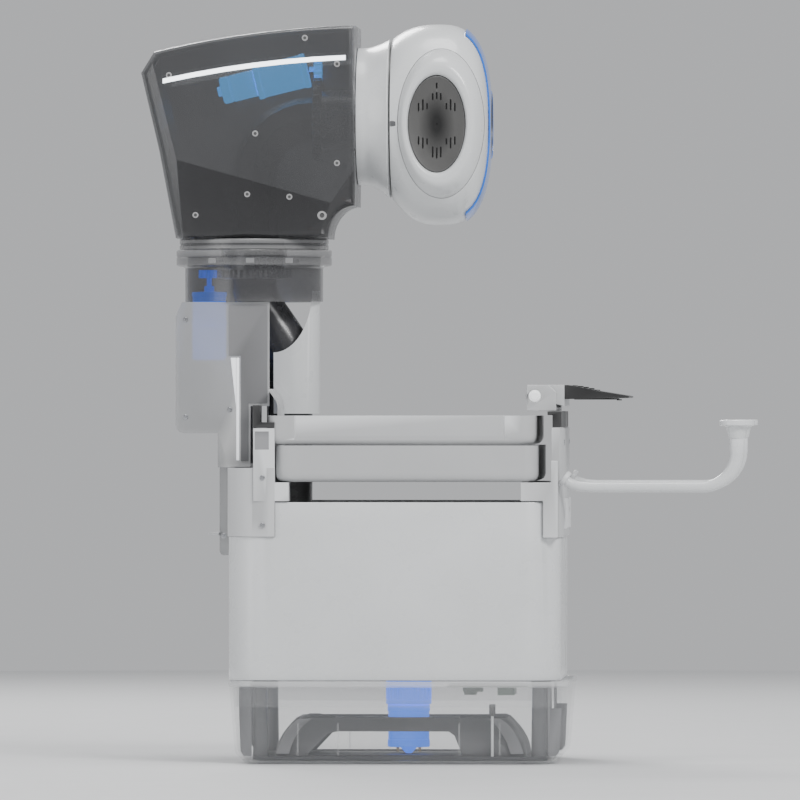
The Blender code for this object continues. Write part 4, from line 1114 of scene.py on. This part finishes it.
def crease(mesh, outer):
    """Cuts the side wall along the facets' meeting lines, then steps each facet in and gives the lower and
    front facets a darker smoke as painted shade.
    """
    mesh.transform(TO_MILLIMETRES)
    bm = bmesh.new()
    bm.from_mesh(mesh)
    lines = crease_lines()
    for place, normal in lines:
        geometry = [*bm.verts, *bm.edges, *bm.faces]
        plane = {"plane_co": (place.x, 0, place.y), "plane_no": (normal.x, 0, normal.y)}
        bmesh.ops.bisect_plane(bm, geom=geometry, dist=0.001, **plane)
    for vert in bm.verts:
        if abs(vert.co.y) > 55:
            vert.co.y -= math.copysign(facet_depth(vert.co.x, vert.co.z), vert.co.y)
    for face in bm.faces:
        face.smooth = True
        centre = face.calc_center_median()
        drops = facet_drops(centre.x, centre.z)
        # Faces on the lower and front facets take the darker smoke: painted shade on faces that tilt
        # downward.
        if abs(centre.y) > 50 and max(drops) > 0 and drops[REAR_FACET] < max(drops):
            face.material_index = 1
    for edge in bm.edges:
        if not all(abs(vert.co.y) > outer - 24 for vert in edge.verts):
            continue
        ends = [Vector((vert.co.x, vert.co.z)) for vert in edge.verts]
        on_line = any(all(abs((end - place).dot(normal)) < 0.01 for end in ends) for place, normal in lines)
        if on_line or edge.calc_face_angle(0) > math.radians(20):
            edge.smooth = False
    bm.to_mesh(mesh)
    bm.free()
    mesh.transform(TO_METRES)


def make_housing():
    outline = housing_outline()
    outer = high("housing_far")[1]
    for side, sign in SIDES.items():
        make_housing_half(side, sign, outline, outer)
    seam = extruded([inset(outline, 0.25), inset(outline, 2.6)], -0.16, 0.16)
    add_piece("housing_seam", seam, "black", "housing_near")
    slots = []
    for sign in SIDES.values():
        low_y, high_y = span(sign, 66, 70)
        for low_z, high_z in ((625, 644), (607.6, 610.6)):
            slots.append(box((-47.5, low_y, low_z), (-45.9, high_y, high_z)))
    add_piece("housing_front_slots", slots, "black", "housing_near")
    clips = []
    for x, z in ((-60, 560), (-93.5, 531)):
        clips += [box((x, y, z - 2), (x + 5, y + 2, z + 2)) for y in (-63, 61)]
    soften(add_piece("cable_clips", clips, "orange", "housing_near"), 0.8)
    rounded_node("light_strip_near", "light", 0.35)
    rounded_node("light_strip_far", "light", 0.35)
    make_roll_motor()
    rounded_node("inner_chute", "tube_dark", 0.2, 1)
    rounded_node("bearing_plate", "dark", 0.6)
    rounded_node("ball_sensor", "black")


def make_housing_half(side, sign, outline, outer):
    """Smoked half shell with a rounded side, creased facets, and screw bosses."""
    node = f"housing_{side}"
    mesh = rounded_side(extruded([outline], *span(sign, 0.2, outer)), sign * outer, 7)
    shell = stand_in(f"{node}_shell", mesh, "smoke", node)
    cut(shell, extruded([inset(outline, WALL)], *span(sign, -2, outer - WALL)))
    neck_hole = cylinder((-56, 0, 643), FORWARD, 66, 20, 64)
    base_hole = cylinder((PAN_X, 0, 510.6), UP, 60, 20, 64)
    cut(shell, [neck_hole, base_hole])
    # Second material: the darker smoke, painted shade for the facets that face downward.
    shell.data.materials.append(LOOKS["smoke_painted_facet_shade"])
    crease(shell.data, outer)
    rings, hole_shades = [], []
    for x, z, wide in BOSSES:
        place = (x, sign * (outer - facet_depth(x, z)), z)
        bore, hole_shade_bore = 0.55 * wide, 0.56 * wide
        ring = [(bore, 0.35), (0.9 * wide, 0.35), (wide, 0.1), (wide, -1.4), (bore, -1.4)]
        rings.append(turned(ring, place, (0, sign, 0), 28))
        # Painted shade: a black plug fills each boss's bore to stand for the dark hole.
        hole_shade = [(0, 0.1), (hole_shade_bore, 0.1), (hole_shade_bore, -1.5), (0, -1.5)]
        hole_shades.append(turned(hole_shade, place, (0, sign, 0), 24))
    add_piece(f"screw_bosses_{side}", rings, "smoke_ring", node)
    add_piece(f"screw_hole_shade_{side}", hole_shades, "black", node)


def make_roll_motor():
    tail, nose = Vector((-182.5, 0, 669)), Vector((-96.5, 0, 690))
    along = (nose - tail).normalized()
    can = turned(motor_can(13.5, 35), tail, along, 56)
    stand_in("roll_motor_body", can, "motor_cyan_painted_glow", "roll_motor_can")
    cap = turned([(0, 0), (5, 0), (5, -3.4), (4.4, -4), (0, -4)], tail, along, 32)
    add_piece("roll_motor_cap", cap, "motor_cyan_painted_glow", "roll_motor_can")
    start = tail + along * 35.4
    length = (nose - start).length
    radius = 17.5
    gearbox = [
        (0, length),
        *beside((radius, length), (-0.8, 0), (0, -0.8), (0, -5), (-0.8, -5.6)),
        *beside((radius, 0), (-0.8, 5.6), (0, 5), (0, 0.6), (-0.6, 0)),
        (0, 0),
    ]
    stand_in("roll_gearbox_body", turned(gearbox, start, along, 56), "motor_cyan_painted_glow", "roll_gearbox")
    rounded_node("roll_pinion", "motor_cyan_painted_glow", 0.3, 1)


# Neck cone and head

HEAD_BACK, HEAD_CREST, HEAD_FRONT = -11, 36, 86
SEAM_RADIUS = 80
CREST_HALF = (84, 100.3)
EXIT_RADIUS = 33
# Middle and half size, side on, of the pod and of the vent in it
POD = ((39.75, HEAD_Z), (42.75, 74.2))
VENT = ((36, 634.2), (28.8, 48.5))
PANEL_STATIONS = (65, 69.5, 73.5, 77, 79.8, 82, 83.6, 84.6, 85.2)
SHELL_STATIONS = (-11, -10.6, -9, -6, -2, 3, 9, 16, 24, 32, 40, 47, 54, 60, *PANEL_STATIONS)


def make_neck_cone():
    start_z = 643.4
    start, end = low("neck_cone")[0] + 0.05, -14.2
    narrow, wide = 68.6, 79.6
    rings = []
    for step in range(17):
        along = step / 16
        flare = max(0, (along - 0.25) / 0.75) ** 1.6
        radius = narrow + (wide - narrow) * flare
        circle = ellipse((0, start_z + (ROLL_Z - start_z) * flare), (radius, radius))
        rings.append([(start + (end - start) * along, y, z) for y, z in circle])
    cone = stand_in("neck_cone_shell", thickened(loft(rings), WALL), "white", "neck_cone")
    soften(cone, 0.5, 2, 40)
    seam = turned([(70, 2.6), (77.6, 2.6), (77.6, 0), (70, 0)], (-13.9, 0, ROLL_Z), FORWARD, 96)
    add_piece("neck_seam", seam, "black", "neck_cone")


def head_shape(x):
    """Half width, half height, centre and roundness of the head at x."""
    if x <= HEAD_CREST:
        rest = 1 - ((HEAD_CREST - x) / (HEAD_CREST - HEAD_BACK)) ** 2.6
        half_y, half_z = (SEAM_RADIUS + (half - SEAM_RADIUS) * rest for half in CREST_HALF)
        return half_y, half_z, ROLL_Z + (HEAD_Z - ROLL_Z) * rest, 2 + 0.5 * rest
    ahead = (x - HEAD_CREST) / (HEAD_FRONT - HEAD_CREST)
    half_y = CREST_HALF[0] * (1 - ahead**5) ** (1 / 5)
    half_z = CREST_HALF[1] * (1 - ahead**2.8) ** (1 / 2.8)
    return half_y, half_z, HEAD_Z, 2.5


def head_section(x, grow=0.0, steps=44):
    half_y, half_z, centre, power = head_shape(x)
    points = []
    for step in range(steps + 1):
        angle = math.pi * step / steps - math.pi / 2
        across, up = math.cos(angle), math.sin(angle)
        y = (half_y + grow) * abs(across) ** (2 / power)
        z = (half_z + grow) * math.copysign(abs(up) ** (2 / power), up)
        points.append((max(y, 0), centre + z))
    return points


def head_side(x, z):
    """How far out the head's side lies at a place."""
    half_y, half_z, centre, power = head_shape(x)
    rest = 1 - min(1, abs(z - centre) / half_z) ** power
    return half_y * rest ** (1 / power)


def exit_section(steps=44):
    return arc((0, HEAD_Z), (EXIT_RADIUS, EXIT_RADIUS), -90, 90, steps)


def make_head_shells():
    for side, sign in SIDES.items():
        node = f"head_shell_{side}"
        rings = []
        for x in SHELL_STATIONS:
            section = head_section(x, -0.6 if x == HEAD_BACK else 0.0)
            rings.append([(x, sign * (y + 0.2), z) for y, z in section])
        rings.append([(HEAD_FRONT - 0.1, sign * (y + 0.2), z) for y, z in exit_section()])
        skin = loft(rings, whole=False)
        side_face = max(skin.polygons, key=lambda face: abs(face.center.y))
        if side_face.normal.y * sign < 0:
            skin.flip_normals()
        shell = stand_in(f"{node}_body", thickened(skin, 2.5), "white", node)
        pod_hole = ellipse(POD[0], [value + 0.4 for value in POD[1]], 120)
        cut(shell, extruded([pod_hole], *span(sign, 40, 95)))
        low_y, high_y = span(sign, -20, 0.2)
        cut(shell, box((-20, low_y, 500), (95, high_y, 800)))
        low_y, high_y = span(sign, 78.1, 81.3)
        notch = box((-10.7, low_y, 631.6), (-3.8, high_y, 637.6))
        soften(add_piece(f"index_notch_{side}", notch, "grey_dark", node), 1.4, 4)


def blended_ellipse(share, steps=120):
    """An ellipse between the pod's outline and the vent's."""
    centre = [a + (b - a) * share for a, b in zip(POD[0], VENT[0])]
    half = [a + (b - a) * share for a, b in zip(POD[1], VENT[1])]
    return ellipse(centre, half, steps)


def make_pods():
    """The side pod is a low dome that rises from the head to a rolled lip round the vent."""
    edge = [head_side(x, z) for x, z in blended_ellipse(0)]
    lip, dome_end = 89.7, 0.68
    rows = [(0, -3.0, None), (0, 0.0, None), (0.02, 0.7, None)]
    for share in (0.08, 0.16, 0.26, 0.38, 0.50, 0.60, dome_end):
        rows.append((share, 0, math.sin(math.pi / 2 * share / dome_end) ** 0.9))
    rolled = ((0.72, 0), (0.78, 0.28), (0.86, 0), (0.93, -1), (0.99, -2.7), (1, -4), (1, -6.2))
    rows += [(share, rise, 1.0) for share, rise in rolled]
    for side, sign in SIDES.items():
        rings = []
        for share, rise, climb in rows:
            ring = []
            for (x, z), start in zip(blended_ellipse(share), edge):
                base = start + 0.7
                y = start if climb is None else base + (lip - base) * climb
                ring.append((x, sign * (y + rise), z))
            rings.append(ring)
        inner = [(x, sign * 82.6, z) for x, z in blended_ellipse(0.9)]
        back = [(x, sign * (start - 3.0), z) for (x, z), start in zip(blended_ellipse(0.06), edge)]
        stand_in(f"pod_{side}", loft([*rings, inner, back, rings[0]]), "white", f"side_pod_{side}")


def vent_slots():
    """Upright slots in a flower round the vent's middle."""
    places = [(0, 38, 3)]
    for x in (-4, 0, 4):
        places += [(x, 28 - abs(x) / 4, 3.6), (x, -29 + abs(x) / 4, 5.5)]
    for x, z in corners(1, 1):
        places += [(x * 9.6, z * 17.5, 3.2), (x * 13.8, z * 19, 5.6), (x * 18, z * 16.6, 4.2)]
    centre_x, centre_z = VENT[0]
    return [rounded_rectangle((0.8, half), 0.75, (centre_x + x, centre_z + z), 3) for x, z, half in places]


def make_vents():
    """Slotted dish in each pod; its rings are given as a share of the vent and a distance out."""
    face = ((0.985, 82.4), (0.985, 85.4), (0.965, 85.8), (0.93, 85.5), (0.8, 84.6), (0.6, 83.7), (0.4, 83.1))
    hub = ((0.2, 82.8), (0.02, 82.7), (0.02, 81.1))
    back = ((0.6, 81.5), (0.9, 82.0), (0.985, 82.4))
    for side, sign in SIDES.items():
        node = f"side_vent_{side}"
        rings = []
        for share, y in (*face, *hub, *back):
            outline = ellipse(VENT[0], [value * share for value in VENT[1]], 120)
            rings.append([(x, sign * y, z) for x, z in outline])
        dish = stand_in(f"vent_{side}", loft(rings), "vent", node)
        cut(dish, [extruded([slot], *span(sign, 79, 88)) for slot in vent_slots()])
        outline = ellipse(VENT[0], [value * 0.93 for value in VENT[1]], 72)
        backing = extruded([outline], *span(sign, 78.4, 80.4))
        add_piece(f"vent_backing_{side}", backing, "black", node)


def make_front_panel():
    """Blue band over the head's nose, with the ball exit in its middle."""
    sections = [(x, head_section(x, 0.8)) for x in (58, 60.5, 63, *PANEL_STATIONS)]
    sections.append((HEAD_FRONT + 0.7, exit_section()))
    rings = []
    for x, section in sections:
        rings.append([(x, y, z) for y, z in section] + [(x, -y, z) for y, z in reversed(section[1:-1])])
    panel = stand_in("front_panel_body", thickened(loft(rings), 1.6, 1), "panel_blue", "front_panel")
    window = rounded_rectangle((high("front_panel")[1] - 0.2, 120), 24, (0, HEAD_Z))
    cut(panel, extruded([window], 63.2, 95, "yz"), "INTERSECT")
    soften(panel, 0.5, 2, 40)
    funnel = turned([(28, 79), (29.4, 79), (32.4, 87.4), (31.2, 87.9)], (0, 0, HEAD_Z), FORWARD, 72)
    add_piece("exit_funnel", funnel, "black", "nozzle_ring")
    rounded_node("nozzle_ring", "black", 0.8, 3)


def make_launch_drive():
    rounded_node("motor_plate", "steel", 0.5)
    rounded_node("roll_gear", "steel", 0.25, 1)
    hub = [(0, 7), (6, 7), (6.6, 6.4), (6.6, 3), (18, 3), (20, 8.6), (25.2, 9.6), (25.2, -9.6), (20, -8.6)]
    hub += [(18, -3), (6.6, -3), (6.6, -9.8), (2.5, -10.9), (2.5, -22), (0, -22)]
    can = [(3, 35), *beside((17, 35), (-0.8, 0), (0, -0.8), (0, -9), (-0.6, -9.6), (-0.6, -13), (0, -13.6))]
    can += [(17, 1.2), (15.8, 0), (3, 0)]
    bolt = 11 * math.sqrt(0.5)
    for name in ("upper", "lower"):
        node = f"launch_wheel_{name}"
        centre = middle(node)
        centre.y = 0
        radius = half_width(node)
        half = [(25, 10), (26, 10.9)]
        half += beside((radius, 0), (-1, 9.6), (0, 8.6), (-0.6, 6.4), (-1.3, 6.2), (-2.2, 3))
        tyre = [*half, (radius - 3, 0), *((wide, -height) for wide, height in reversed(half))]
        stand_in(f"{node}_tyre", turned(tyre, centre, TOWARD_VIEWER, 72), "rubber", node)
        add_piece(f"{node}_hub", turned(hub, centre, TOWARD_VIEWER, 56), "grey", node)
        node = f"wheel_motor_{name}"
        place = (centre.x, high(node)[1], centre.z)
        stand_in(f"{node}_body", turned(can, place, TOWARD_VIEWER, 56), "dark", node)
        places = [(centre.x + x, 11.9, centre.z + z) for x, z in corners(bolt, bolt)]
        screws(f"{node}_screws", places, TOWARD_VIEWER, 1.9, "motor_plate", 0.8)


def make_head():
    make_neck_cone()
    make_head_shells()
    make_pods()
    make_vents()
    make_front_panel()
    make_launch_drive()


LOOKS = {**white_looks(), **grey_looks(), **see_through_looks(), **coloured_looks()}
make_studio()
make_base_pan()
make_underframe()
make_feed_motor()
make_base_inside()
make_bucket()
make_brackets()
make_tray()
make_ramp()
make_arms()
make_column()
make_housing()
make_head()
